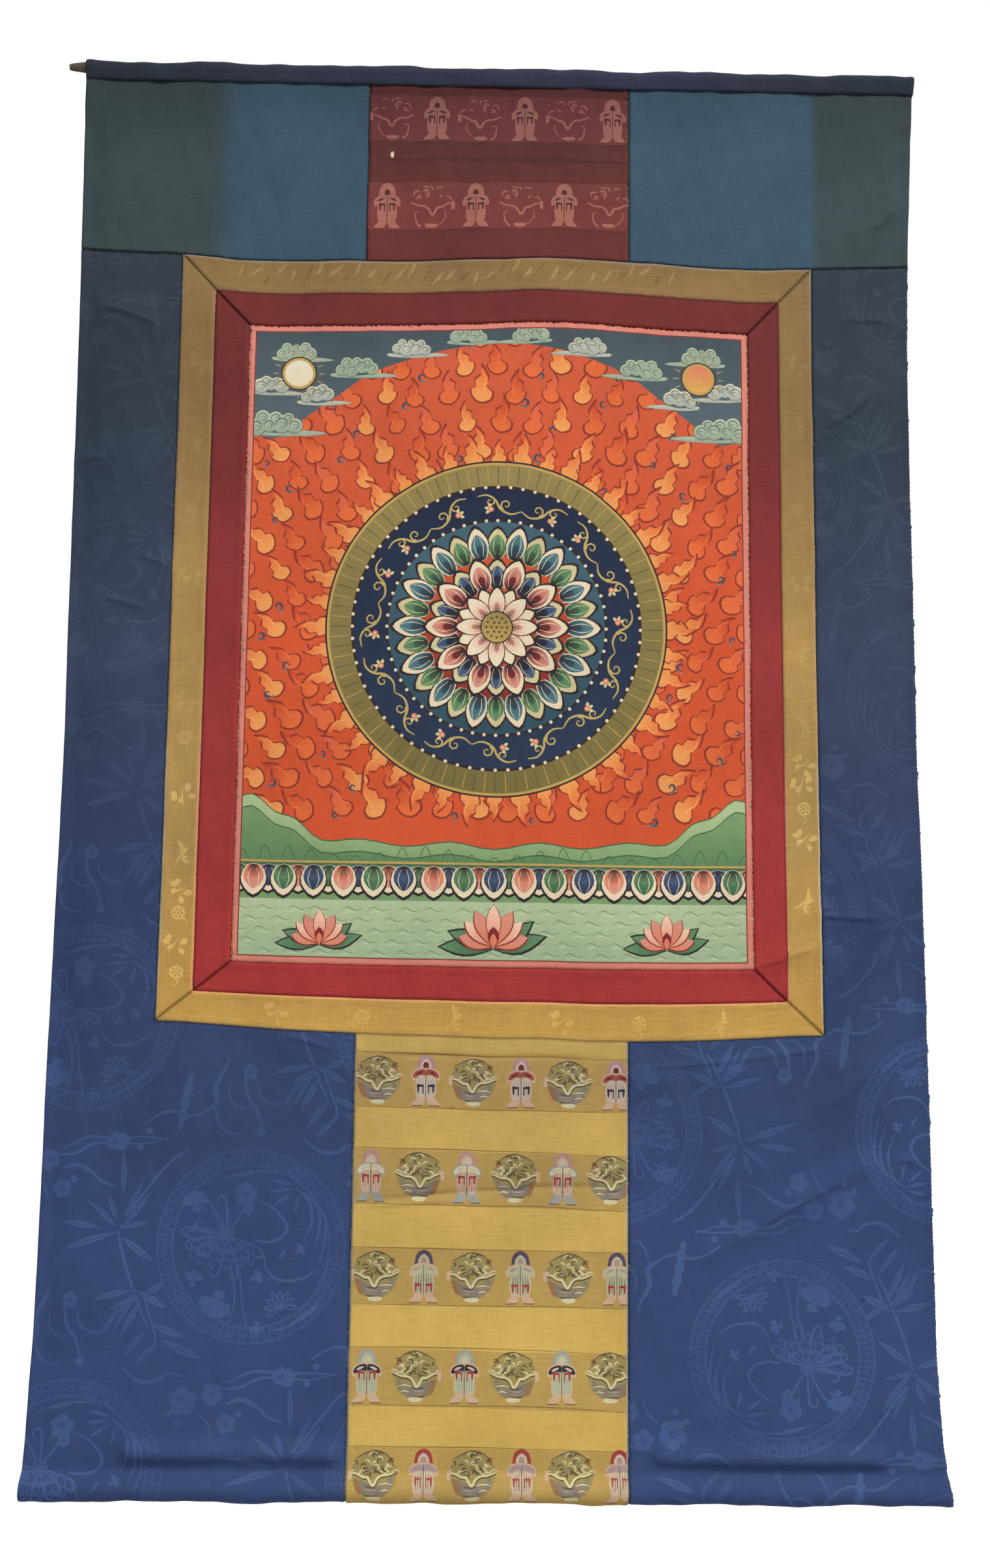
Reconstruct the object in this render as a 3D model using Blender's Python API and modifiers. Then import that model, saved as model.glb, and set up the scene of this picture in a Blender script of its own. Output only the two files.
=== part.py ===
"""A thangka scroll painting: a sewn silk mount hung from a wooden stave, with a wooden dowel in its foot.

Metres, +Z up. The cloth hangs in the XZ plane and faces -Y. The middle of the heading's top edge is the
origin. Each sheet is a flat grid of cells, laid out by its seam lines, which hang() then places: it gives
every point of the flat layout its spot on the uneven hanging cloth. Solidify gives the sheet its thickness.
"""

import math

import bmesh
import bpy
from mathutils import Vector

# Cloth.
CLOTH = 0.0018
GAP = 0.0003
CELL = 0.022
FINE_CELL = 0.012
LOOP_CELL = 0.0058

# The flat layout: side lines (left, right) and levels of the seams.
MOUNT_SIDES = (-0.500, 0.500)
GOLD_SIDES = (-0.3780, 0.3740)
RED_SIDES = (-0.3380, 0.3335)
PAINTING_SIDES = (-0.2965, 0.2952)
TOP_PANEL_SIDES = (-0.1600, 0.1525)
COLUMN_SIDES = (-0.1535, 0.1515)
PANELS_TOP = -0.0180
TOP_SEAM = -0.2450
RED_TOP = -0.2850
PAINTING_TOP = -0.3250
PAINTING_FOOT = -1.0830
RED_FOOT = -1.1190
GOLD_FOOT = -1.1570
POUCH_TOP = -1.5800
SLEEVE_SEAM = -1.6280

# Wooden stave in the heading. Its left tip shows beyond the cloth.
STAVE_RADIUS = 0.0062
STAVE_Z = -0.0085
STAVE_LEFT = -0.5225
STAVE_RIGHT = 0.4950
HEADING_RADIUS = 0.0076
HEADING_FOOT = -0.0245

# Wooden dowel in the foot, and the cloth that goes round it.
DOWEL_RADIUS = 0.0124
DOWEL_LEFT = -0.4980
DOWEL_RIGHT = 0.4980
ROLL_RADIUS = 0.0141
ROLL_Y = 0.0040
ROLL_Z = -1.6455
ROUND_STEPS = 24

# How far the mount's side edges stand inside their straight lines.
SIDE_INSET = (
    # level, left, right
    (0.00, -0.0020, 0.0010),
    (-0.12, -0.0015, 0.0060),
    (-0.24, 0.0005, 0.0110),
    (-0.40, 0.0030, 0.0145),
    (-0.60, 0.0045, 0.0140),
    (-0.80, 0.0065, 0.0140),
    (-0.95, 0.0065, 0.0120),
    (-1.15, 0.0045, 0.0100),
    (-1.35, 0.0040, 0.0090),
    (-1.50, 0.0025, 0.0075),
    (-1.58, 0.0010, 0.0050),
    (-1.62, -0.0010, 0.0010),
    (-1.66, -0.0035, -0.0035),
)

# How far the long seams over and under the frame stand above their straight lines.
SEAM_RISE = (
    # across, top seam, foot seam
    (-0.50, 0.0070, 0.0050),
    (-0.43, 0.0020, 0.0080),
    (-0.375, 0.0005, 0.0100),
    (-0.30, -0.0050, 0.0060),
    (-0.24, -0.0055, 0.0020),
    (-0.18, -0.0040, -0.0005),
    (-0.12, -0.0035, -0.0030),
    (-0.06, -0.0010, -0.0040),
    (0.00, 0.0015, -0.0060),
    (0.055, 0.0040, -0.0055),
    (0.11, 0.0030, -0.0080),
    (0.17, -0.0005, -0.0075),
    (0.23, -0.0040, -0.0060),
    (0.29, -0.0060, -0.0030),
    (0.35, -0.0050, 0.0005),
    (0.43, -0.0020, 0.0005),
    (0.50, 0.0035, 0.0000),
)

# How much of each seam's rise the cloth above and below it shares.
RISE_SHARE = (
    # level, top seam, foot seam
    (0.00, 0.0, 0.00),
    (-0.12, 0.3, 0.00),
    (-0.245, 1.0, 0.00),
    (-0.325, 1.0, 0.00),
    (-0.50, 0.4, 0.00),
    (-0.75, 0.0, 0.00),
    (-0.95, 0.0, 0.15),
    (-1.083, 0.0, 0.35),
    (-1.119, 0.0, 0.60),
    (-1.157, 0.0, 1.00),
    (-1.25, 0.0, 0.60),
    (-1.45, 0.0, 0.15),
    (-1.60, 0.0, 0.00),
)

# Main folds: soft ridges (rise above zero, towards the viewer) and troughs along a line.
FOLDS = (
    # from across, from level, to across, to level, half width, rise
    (-0.385, -1.6080, -0.175, -1.6090, 0.011, 0.0080),
    (0.190, -1.6090, 0.425, -1.6110, 0.011, 0.0080),
    (0.245, -1.3930, 0.413, -1.3020, 0.016, 0.0050),
    (0.270, -1.3500, 0.430, -1.2650, 0.022, -0.0025),
    (0.382, -1.2360, 0.423, -1.1960, 0.018, 0.0040),
    (0.160, -1.2000, 0.385, -1.1830, 0.016, 0.0025),
    (0.299, -1.0800, 0.368, -1.0580, 0.018, 0.0030),
    (0.372, -1.0220, 0.445, -1.0240, 0.016, 0.0030),
    (0.391, -0.4440, 0.443, -0.4060, 0.018, 0.0040),
    (0.423, -0.3120, 0.477, -0.3170, 0.016, 0.0030),
    (0.440, -0.2050, 0.480, -0.1650, 0.020, 0.0045),
    (-0.468, -0.3160, -0.403, -0.3350, 0.018, 0.0035),
    (-0.489, -0.5010, -0.430, -0.4990, 0.018, 0.0025),
    (-0.457, -0.6650, -0.383, -0.6260, 0.020, 0.0030),
    (-0.232, -1.1720, -0.174, -1.1850, 0.018, 0.0030),
    (-0.148, -1.3410, 0.145, -1.3200, 0.020, -0.0030),
    (-0.330, -1.2400, -0.370, -1.5600, 0.060, 0.0045),
    (0.300, -1.4400, 0.330, -1.5800, 0.060, 0.0040),
    (-0.430, -0.3500, -0.440, -1.1500, 0.035, 0.0030),
    (0.425, -0.3500, 0.430, -1.1500, 0.035, 0.0030),
    (0.000, -0.4500, 0.000, -0.9800, 0.160, 0.0060),
    (-0.496, -0.0900, -0.494, -1.5000, 0.022, -0.0045),
    (0.494, -0.0900, 0.490, -1.5000, 0.022, -0.0040),
)

COLLECTION = "thangka_scroll"
FINISHES = {
    # name: colour, roughness
    "navy_cotton": ((0.030, 0.042, 0.085, 1.0), 0.92),
    "teal_silk": ((0.050, 0.105, 0.140, 1.0), 0.80),
    "red_brocade": ((0.170, 0.028, 0.030, 1.0), 0.78),
    "gold_damask": ((0.460, 0.330, 0.110, 1.0), 0.70),
    "crimson_silk": ((0.330, 0.030, 0.040, 1.0), 0.75),
    "painted_cotton": ((0.600, 0.200, 0.080, 1.0), 0.85),
    "blue_damask": ((0.035, 0.060, 0.170, 1.0), 0.72),
    "gold_brocade": ((0.550, 0.400, 0.130, 1.0), 0.70),
    "old_wood": ((0.110, 0.080, 0.055, 1.0), 0.70),
}


def clear_scene():
    for obj in list(bpy.data.objects):
        bpy.data.objects.remove(obj, do_unlink=True)


def make_finishes():
    made = {}
    for name, (colour, roughness) in FINISHES.items():
        material = bpy.data.materials.new(name)
        material.use_nodes = True
        shader = material.node_tree.nodes["Principled BSDF"]
        shader.inputs["Base Color"].default_value = colour
        shader.inputs["Roughness"].default_value = roughness
        material.diffuse_color = colour
        made[name] = material
    return made


def through(table, place, column):
    """The value of one column at a place, along a smooth curve through the table's rows."""
    rows = sorted(table)
    if place <= rows[0][0]:
        return rows[0][column]
    if place >= rows[-1][0]:
        return rows[-1][column]
    after = next(i for i, row in enumerate(rows) if row[0] > place)
    low, high = rows[after - 1], rows[after]
    step = high[0] - low[0]
    below = rows[max(after - 2, 0)]
    above = rows[min(after + 1, len(rows) - 1)]
    slope_low = (high[column] - below[column]) / (high[0] - below[0])
    slope_high = (above[column] - low[column]) / (above[0] - low[0])
    t = (place - low[0]) / step
    return (
        low[column] * (1 + 2 * t) * (1 - t) ** 2
        + slope_low * step * t * (1 - t) ** 2
        + high[column] * t * t * (3 - 2 * t)
        + slope_high * step * t * t * (t - 1)
    )


def smooth(low, high, value):
    t = min(max((value - low) / (high - low), 0.0), 1.0)
    return t * t * (3 - 2 * t)


def fold_rise(across, level):
    """How far the cloth stands towards the viewer. It is flat at the heading and drawn in at the sleeve's seam."""
    point = Vector((across, level))
    rise = 0.0
    for from_across, from_level, to_across, to_level, half_width, height in FOLDS:
        start = Vector((from_across, from_level))
        along = Vector((to_across, to_level)) - start
        t = min(max((point - start).dot(along) / along.length_squared, 0.0), 1.0)
        distance = (point - start - along * t).length
        rise += height * math.exp(-((distance / half_width) ** 2))
    flat_top = smooth(-0.03, -0.08, level)
    drawn_in = smooth(SLEEVE_SEAM, SLEEVE_SEAM + 0.014, level)
    return rise * flat_top * drawn_in


class Loop:
    """The way of a cloth, as points (y, z), from start round the far side of a rod to end.

    over is 1 where it passes above the rod and -1 where it passes below.
    """

    def __init__(self, start, end, centre, radius, over):
        self.flip = Vector((1, over))
        self.start = Vector(start) * self.flip
        self.end = Vector(end) * self.flip
        self.centre = Vector(centre) * self.flip
        self.radius = radius
        self.angle_on = self.tangent_angle(self.start, -1) + 2 * math.pi
        self.angle_off = self.tangent_angle(self.end, 1)
        self.reach_on = (self.on_rod(self.angle_on) - self.start).length
        self.round = radius * (self.angle_on - self.angle_off)
        self.reach_off = (self.end - self.on_rod(self.angle_off)).length
        self.length = self.reach_on + self.round + self.reach_off

    def tangent_angle(self, point, side):
        out = point - self.centre
        return math.atan2(out.y, out.x) + side * math.acos(self.radius / out.length)

    def on_rod(self, angle):
        return self.centre + self.radius * Vector((math.cos(angle), math.sin(angle)))

    def at(self, distance):
        """(y, z) at a distance along the way."""
        if distance < self.reach_on:
            point = self.start.lerp(self.on_rod(self.angle_on), distance / self.reach_on)
        elif distance < self.reach_on + self.round:
            point = self.on_rod(self.angle_on - (distance - self.reach_on) / self.radius)
        else:
            past = (distance - self.reach_on - self.round) / self.reach_off
            point = self.on_rod(self.angle_off).lerp(self.end, min(past, 1.0))
        return point * self.flip


HEADING = Loop(
    start=(-CLOTH - GAP, HEADING_FOOT),
    end=(CLOTH + GAP, HEADING_FOOT),
    centre=(0.0, STAVE_Z),
    radius=HEADING_RADIUS,
    over=1,
)
ROLL = Loop(
    start=(0.0, SLEEVE_SEAM),
    end=(CLOTH + GAP, SLEEVE_SEAM),
    centre=(ROLL_Y, ROLL_Z),
    radius=ROLL_RADIUS,
    over=-1,
)


def sideways(across, height):
    """Where a point of the flat layout goes across the mount: the sides are drawn in, the middle hardly."""
    inset = through(SIDE_INSET, height, 1 if across < 0 else 2)
    share = (abs(across) / MOUNT_SIDES[1]) ** 4
    return across - math.copysign(inset * share, across)


def hang(across, level):
    """The hanging place of a point of the flat layout. Levels under the sleeve's seam go round the dowel."""
    if level < SLEEVE_SEAM:
        y, height = ROLL.at(SLEEVE_SEAM - level)
    else:
        y = -fold_rise(across, level)
        height = level
        for column in (1, 2):
            height += through(SEAM_RISE, across, column) * through(RISE_SHARE, level, column)
    return Vector((sideways(across, height), y, height))


def hang_heading(across, level):
    """The heading's own layout: level 0 is its front foot, and it goes down as the cloth goes over the stave."""
    y, height = HEADING.at(-level)
    return Vector((sideways(across, height), y, height))


def inset(corners, margin):
    """The four corners moved in, so that every side of the piece moves in by the margin."""
    moved = []
    for index, corner in enumerate(corners):
        corner = Vector(corner)
        back = (Vector(corners[index - 1]) - corner).normalized()
        ahead = (Vector(corners[(index + 1) % 4]) - corner).normalized()
        moved.append(corner + (back + ahead) * margin / abs(back.cross(ahead)))
    return moved


def rectangle(left, right, top, foot):
    return [Vector(corner) for corner in ((left, top), (right, top), (right, foot), (left, foot))]


def add_block(bm, corners, cell):
    """A grid over four corners: top left, top right, foot right, foot left. x is across and y is level."""
    top_left, top_right, foot_right, foot_left = (Vector(corner) for corner in corners)
    width = max((top_right - top_left).length, (foot_right - foot_left).length)
    depth = max((top_left - foot_left).length, (top_right - foot_right).length)
    columns = max(2, round(width / CELL))
    rows = max(2, round(depth / cell))
    grid = bmesh.ops.create_grid(bm, x_segments=columns, y_segments=rows, size=1.0)
    for vertex in grid["verts"]:
        right = (vertex.co.x + 1) / 2
        up = (vertex.co.y + 1) / 2
        top = top_left.lerp(top_right, right)
        foot = foot_left.lerp(foot_right, right)
        vertex.co = foot.lerp(top, up).to_3d()


def add_object(name, bm, finish):
    mesh = bpy.data.meshes.new(name)
    bm.to_mesh(mesh)
    bm.free()
    obj = bpy.data.objects.new(name, mesh)
    obj.data.materials.append(finish)
    bpy.data.collections[COLLECTION].objects.link(obj)
    return obj


def make_sheet(name, finish, blocks, place=hang):
    """One cut piece of cloth. blocks holds (corners, cell size) and neighbours share whole sides."""
    bm = bmesh.new()
    for corners, cell in blocks:
        add_block(bm, corners, cell)
    bmesh.ops.remove_doubles(bm, verts=bm.verts, dist=GAP / 3)
    for vertex in bm.verts:
        vertex.co = place(vertex.co.x, vertex.co.y)
    bmesh.ops.recalc_face_normals(bm, faces=bm.faces)
    sheet = add_object(name, bm, finish)
    thickness = sheet.modifiers.new("Cloth thickness", "SOLIDIFY")
    thickness.thickness = CLOTH
    thickness.offset = 0.0
    thickness.use_even_offset = True
    return sheet


def make_turned(name, finish, outline, y, z):
    """A round rod along X, turned from an outline of (x, radius)."""
    bm = bmesh.new()
    points = [bm.verts.new((x, 0.0, radius)) for x, radius in outline]
    edges = [bm.edges.new(pair) for pair in zip(points, points[1:])]
    bmesh.ops.spin(
        bm,
        geom=points + edges,
        cent=(0, 0, 0),
        axis=(1, 0, 0),
        angle=2 * math.pi,
        steps=ROUND_STEPS,
        use_merge=True,
    )
    bmesh.ops.remove_doubles(bm, verts=bm.verts, dist=GAP / 3)
    bmesh.ops.recalc_face_normals(bm, faces=bm.faces)
    bmesh.ops.translate(bm, verts=bm.verts, vec=(0, y, z))
    return add_object(name, bm, finish)


def make_rods(finishes):
    stave = (
        (STAVE_LEFT, 0.0),
        (STAVE_LEFT, 0.0034),
        (STAVE_LEFT + 0.004, 0.0044),
        (STAVE_LEFT + 0.018, STAVE_RADIUS),
        (STAVE_RIGHT, STAVE_RADIUS),
        (STAVE_RIGHT, 0.0),
    )
    make_turned("top_stave", finishes["old_wood"], stave, 0.0, STAVE_Z)
    dowel = (
        (DOWEL_LEFT, 0.0),
        (DOWEL_LEFT, DOWEL_RADIUS),
        (DOWEL_RIGHT, DOWEL_RADIUS),
        (DOWEL_RIGHT, 0.0),
    )
    make_turned("foot_dowel", finishes["old_wood"], dowel, ROLL_Y, ROLL_Z)


def make_top(finishes):
    """The heading and the three panels that hang from it."""
    left, right = MOUNT_SIDES
    wrap = rectangle(left, right, 0.0, -HEADING.length)
    make_sheet("heading_sleeve", finishes["navy_cotton"], [(wrap, 0.0033)], hang_heading)
    panels = (
        # name, finish, left side, right side
        ("teal_panel_left", "teal_silk", left, TOP_PANEL_SIDES[0]),
        ("top_panel", "red_brocade", *TOP_PANEL_SIDES),
        ("teal_panel_right", "teal_silk", TOP_PANEL_SIDES[1], right),
    )
    for name, finish, from_side, to_side in panels:
        corners = inset(rectangle(from_side, to_side, PANELS_TOP, TOP_SEAM), GAP / 2)
        make_sheet(name, finishes[finish], [(corners, CELL)])


def make_frame(name, finish, outer, inner):
    """Four strips with mitred corners between an outer and an inner rectangle."""
    for index, side in enumerate(("top", "right", "foot", "left")):
        ahead = (index + 1) % 4
        strip = [outer[index], outer[ahead], inner[ahead], inner[index]]
        make_sheet(f"{name}_{side}", finish, [(inset(strip, GAP / 2), CELL)])


def make_middle(finishes):
    """The painting in its red and gold frames."""
    gold = rectangle(*GOLD_SIDES, TOP_SEAM, GOLD_FOOT)
    red = rectangle(*RED_SIDES, RED_TOP, RED_FOOT)
    painting = rectangle(*PAINTING_SIDES, PAINTING_TOP, PAINTING_FOOT)
    make_frame("gold_frame", finishes["gold_damask"], gold, red)
    make_frame("red_frame", finishes["crimson_silk"], red, painting)
    make_sheet("painting", finishes["painted_cotton"], [(inset(painting, GAP / 2), CELL)])


def hanging_blocks(left, right, foot):
    """Blocks from the frame's foot down to the sleeve's seam and round the dowel."""
    levels = (
        # top, foot, cell
        (GOLD_FOOT - GAP / 2, POUCH_TOP, CELL),
        (POUCH_TOP, SLEEVE_SEAM, FINE_CELL),
        (SLEEVE_SEAM, foot, LOOP_CELL),
    )
    return [(rectangle(left, right, top, low), cell) for top, low, cell in levels]


def make_lower(finishes):
    """The column, and the two blue pieces that run up beside the frame. All three end round the dowel."""
    foot = SLEEVE_SEAM - ROLL.length
    margin = GAP / 2
    column = hanging_blocks(COLUMN_SIDES[0] + margin, COLUMN_SIDES[1] - margin, foot)
    make_sheet("column_panel", finishes["gold_brocade"], column)
    sides = (
        # name, mount's side, frame's side, column's side
        ("blue_panel_left", MOUNT_SIDES[0] + margin, GOLD_SIDES[0] - margin, COLUMN_SIDES[0] - margin),
        ("blue_panel_right", MOUNT_SIDES[1] - margin, GOLD_SIDES[1] + margin, COLUMN_SIDES[1] + margin),
    )
    for name, outer, beside_frame, beside_column in sides:
        near = sorted((outer, beside_frame))
        under = sorted((beside_frame, beside_column))
        strip = rectangle(*near, TOP_SEAM - margin, GOLD_FOOT - margin)
        blocks = [(strip, CELL)]
        blocks += hanging_blocks(*near, foot)
        blocks += hanging_blocks(*under, foot)
        make_sheet(name, finishes["blue_damask"], blocks)


def main():
    clear_scene()
    bpy.context.scene.collection.children.link(bpy.data.collections.new(COLLECTION))
    finishes = make_finishes()
    make_rods(finishes)
    make_top(finishes)
    make_middle(finishes)
    make_lower(finishes)


main()
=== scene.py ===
"""The looks of a thangka scroll painting: sewn silks, a painted cotton, and the wood they hang from.

Metres, +Z up. The cloth hangs in the XZ plane and faces -Y. Every sheet is drawn in its flat layout, as
(across, level), cut into triangles along all that is drawn on it, and then hung on the layout's folds.
"""

import math

import bpy
import numpy as np
from mathutils import Matrix, Vector
from mathutils.geometry import delaunay_2d_cdt


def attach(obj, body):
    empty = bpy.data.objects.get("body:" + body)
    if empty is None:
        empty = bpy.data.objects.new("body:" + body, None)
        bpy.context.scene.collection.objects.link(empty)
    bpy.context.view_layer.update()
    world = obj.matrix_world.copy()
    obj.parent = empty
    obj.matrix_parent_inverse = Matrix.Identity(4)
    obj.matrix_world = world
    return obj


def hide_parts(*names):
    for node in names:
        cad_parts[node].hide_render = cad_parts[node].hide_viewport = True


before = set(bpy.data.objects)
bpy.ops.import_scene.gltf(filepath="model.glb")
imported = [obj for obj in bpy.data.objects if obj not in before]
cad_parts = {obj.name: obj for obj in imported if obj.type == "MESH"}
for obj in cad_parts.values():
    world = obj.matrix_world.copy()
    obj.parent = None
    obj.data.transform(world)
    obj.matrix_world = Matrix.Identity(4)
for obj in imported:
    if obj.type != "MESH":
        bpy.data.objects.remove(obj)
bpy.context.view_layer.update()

MM = 0.001

# Cloth.
CAD_CLOTH = 0.0018
GAP = 0.0003
CLOTH = 0.0010

# The flat layout: side lines (left, right) and levels of the seams.
MOUNT_SIDES = (-0.500, 0.500)
GOLD_SIDES = (-0.3780, 0.3740)
RED_SIDES = (-0.3380, 0.3335)
PAINTING_SIDES = (-0.2965, 0.2952)
TOP_PANEL_SIDES = (-0.1600, 0.1525)
COLUMN_SIDES = (-0.1535, 0.1515)
PANELS_TOP = -0.0180
TOP_SEAM = -0.2450
RED_TOP = -0.2850
PAINTING_TOP = -0.3250
PAINTING_FOOT = -1.0830
RED_FOOT = -1.1190
GOLD_FOOT = -1.1570
SLEEVE_SEAM = -1.6280

# The stave and the dowel, and the cloth that goes round them.
STAVE_Z = -0.0085
HEADING_RADIUS = 0.0076
HEADING_FOOT = -0.0245
ROLL_RADIUS = 0.0141
ROLL_Y = 0.0040
ROLL_Z = -1.6455

# How far the mount's side edges stand inside their straight lines.
SIDE_INSET = (
    # level, left, right
    (0.00, -0.0020, 0.0010),
    (-0.12, -0.0015, 0.0060),
    (-0.24, 0.0005, 0.0110),
    (-0.40, 0.0030, 0.0145),
    (-0.60, 0.0045, 0.0140),
    (-0.80, 0.0065, 0.0140),
    (-0.95, 0.0065, 0.0120),
    (-1.15, 0.0045, 0.0100),
    (-1.35, 0.0040, 0.0090),
    (-1.50, 0.0025, 0.0075),
    (-1.58, 0.0010, 0.0050),
    (-1.62, -0.0010, 0.0010),
    (-1.66, -0.0035, -0.0035),
)

# How far the long seams over and under the frame stand above their straight lines.
SEAM_RISE = (
    # across, top seam, foot seam
    (-0.50, 0.0070, 0.0050),
    (-0.43, 0.0020, 0.0080),
    (-0.375, 0.0005, 0.0100),
    (-0.30, -0.0050, 0.0060),
    (-0.24, -0.0055, 0.0020),
    (-0.18, -0.0040, -0.0005),
    (-0.12, -0.0035, -0.0030),
    (-0.06, -0.0010, -0.0040),
    (0.00, 0.0015, -0.0060),
    (0.055, 0.0040, -0.0055),
    (0.11, 0.0030, -0.0080),
    (0.17, -0.0005, -0.0075),
    (0.23, -0.0040, -0.0060),
    (0.29, -0.0060, -0.0030),
    (0.35, -0.0050, 0.0005),
    (0.43, -0.0020, 0.0005),
    (0.50, 0.0035, 0.0000),
)

# How much of each seam's rise the cloth above and below it shares.
RISE_SHARE = (
    # level, top seam, foot seam
    (0.00, 0.0, 0.00),
    (-0.12, 0.3, 0.00),
    (-0.245, 1.0, 0.00),
    (-0.325, 1.0, 0.00),
    (-0.50, 0.4, 0.00),
    (-0.75, 0.0, 0.00),
    (-0.95, 0.0, 0.15),
    (-1.083, 0.0, 0.35),
    (-1.119, 0.0, 0.60),
    (-1.157, 0.0, 1.00),
    (-1.25, 0.0, 0.60),
    (-1.45, 0.0, 0.15),
    (-1.60, 0.0, 0.00),
)

# Main folds: soft ridges (rise above zero, towards the viewer) and troughs along a line.
FOLDS = (
    # from across, from level, to across, to level, half width, rise
    (-0.385, -1.6080, -0.175, -1.6090, 0.011, 0.0080),
    (0.190, -1.6090, 0.425, -1.6110, 0.011, 0.0080),
    (0.245, -1.3930, 0.413, -1.3020, 0.016, 0.0050),
    (0.270, -1.3500, 0.430, -1.2650, 0.022, -0.0025),
    (0.382, -1.2360, 0.423, -1.1960, 0.018, 0.0040),
    (0.160, -1.2000, 0.385, -1.1830, 0.016, 0.0025),
    (0.299, -1.0800, 0.368, -1.0580, 0.018, 0.0030),
    (0.372, -1.0220, 0.445, -1.0240, 0.016, 0.0030),
    (0.391, -0.4440, 0.443, -0.4060, 0.018, 0.0040),
    (0.423, -0.3120, 0.477, -0.3170, 0.016, 0.0030),
    (0.440, -0.2050, 0.480, -0.1650, 0.020, 0.0045),
    (-0.468, -0.3160, -0.403, -0.3350, 0.018, 0.0035),
    (-0.489, -0.5010, -0.430, -0.4990, 0.018, 0.0025),
    (-0.457, -0.6650, -0.383, -0.6260, 0.020, 0.0030),
    (-0.232, -1.1720, -0.174, -1.1850, 0.018, 0.0030),
    (-0.148, -1.3410, 0.145, -1.3200, 0.020, -0.0030),
    (-0.330, -1.2400, -0.370, -1.5600, 0.060, 0.0045),
    (0.300, -1.4400, 0.330, -1.5800, 0.060, 0.0040),
    (-0.430, -0.3500, -0.440, -1.1500, 0.035, 0.0030),
    (0.425, -0.3500, 0.430, -1.1500, 0.035, 0.0030),
    (0.000, -0.4500, 0.000, -0.9800, 0.160, 0.0060),
    (-0.496, -0.0900, -0.494, -1.5000, 0.022, -0.0045),
    (0.494, -0.0900, 0.490, -1.5000, 0.022, -0.0040),
)

# Creases: narrow ridges and troughs, each along a line of (across, level), that fade at their ends.
CREASES = (
    # half width, rise, line
    (0.0030, 0.0026, ((-0.475, -0.3140), (-0.440, -0.3220), (-0.400, -0.3360))),
    (0.0030, 0.0020, ((-0.494, -0.5020), (-0.478, -0.4990), (-0.462, -0.4985))),
    (0.0030, 0.0022, ((-0.418, -0.6140), (-0.400, -0.6190), (-0.380, -0.6270))),
    (0.0034, 0.0022, ((-0.460, -0.6640), (-0.435, -0.6690), (-0.405, -0.6770))),
    (0.0030, 0.0024, ((-0.236, -1.1630), (-0.205, -1.1690), (-0.170, -1.1780))),
    (0.0030, 0.0026, ((0.418, -0.3110), (0.448, -0.3130), (0.480, -0.3180))),
    (0.0032, 0.0030, ((0.387, -0.4460), (0.420, -0.4280), (0.446, -0.4040))),
    (0.0030, 0.0026, ((0.368, -1.0215), (0.410, -1.0235), (0.449, -1.0245))),
    (0.0030, 0.0024, ((0.295, -1.0810), (0.334, -1.0680), (0.372, -1.0570))),
    (0.0032, 0.0024, ((0.150, -1.1885), (0.250, -1.1820), (0.330, -1.1760), (0.390, -1.1700))),
    (0.0034, 0.0030, ((0.378, -1.2390), (0.402, -1.2180), (0.427, -1.1930))),
    (0.0036, 0.0032, ((0.240, -1.3950), (0.308, -1.3570), (0.370, -1.3260), (0.418, -1.3000))),
    (0.0030, 0.0022, ((0.455, -1.2915), (0.468, -1.2925), (0.482, -1.2935))),
    (0.0040, 0.0034, ((0.446, -0.2030), (0.466, -0.1860), (0.479, -0.1690))),
    (0.0026, -0.0022, ((-0.162, -1.1800), (-0.050, -1.1790), (0.050, -1.1780), (0.150, -1.1770))),
    (0.0030, -0.0026, ((-0.150, -1.3420), (-0.039, -1.3310), (0.047, -1.3240), (0.147, -1.3200))),
    (0.0026, 0.0018, ((-0.142, -1.3470), (-0.090, -1.3430), (-0.036, -1.3370))),
)

# The photographed view, from a camera fitted to the seams.
CAMERA_PLACE = (-0.0356, -2.0, -1.1672)
CAMERA_PITCH = 8.293
CAMERA_YAW = 1.003
CAMERA_ROLL = 0.612
CAMERA_LENS = 27.113
CAMERA_SENSOR = 24.0
FLOOR_Z = -1.95

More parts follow.
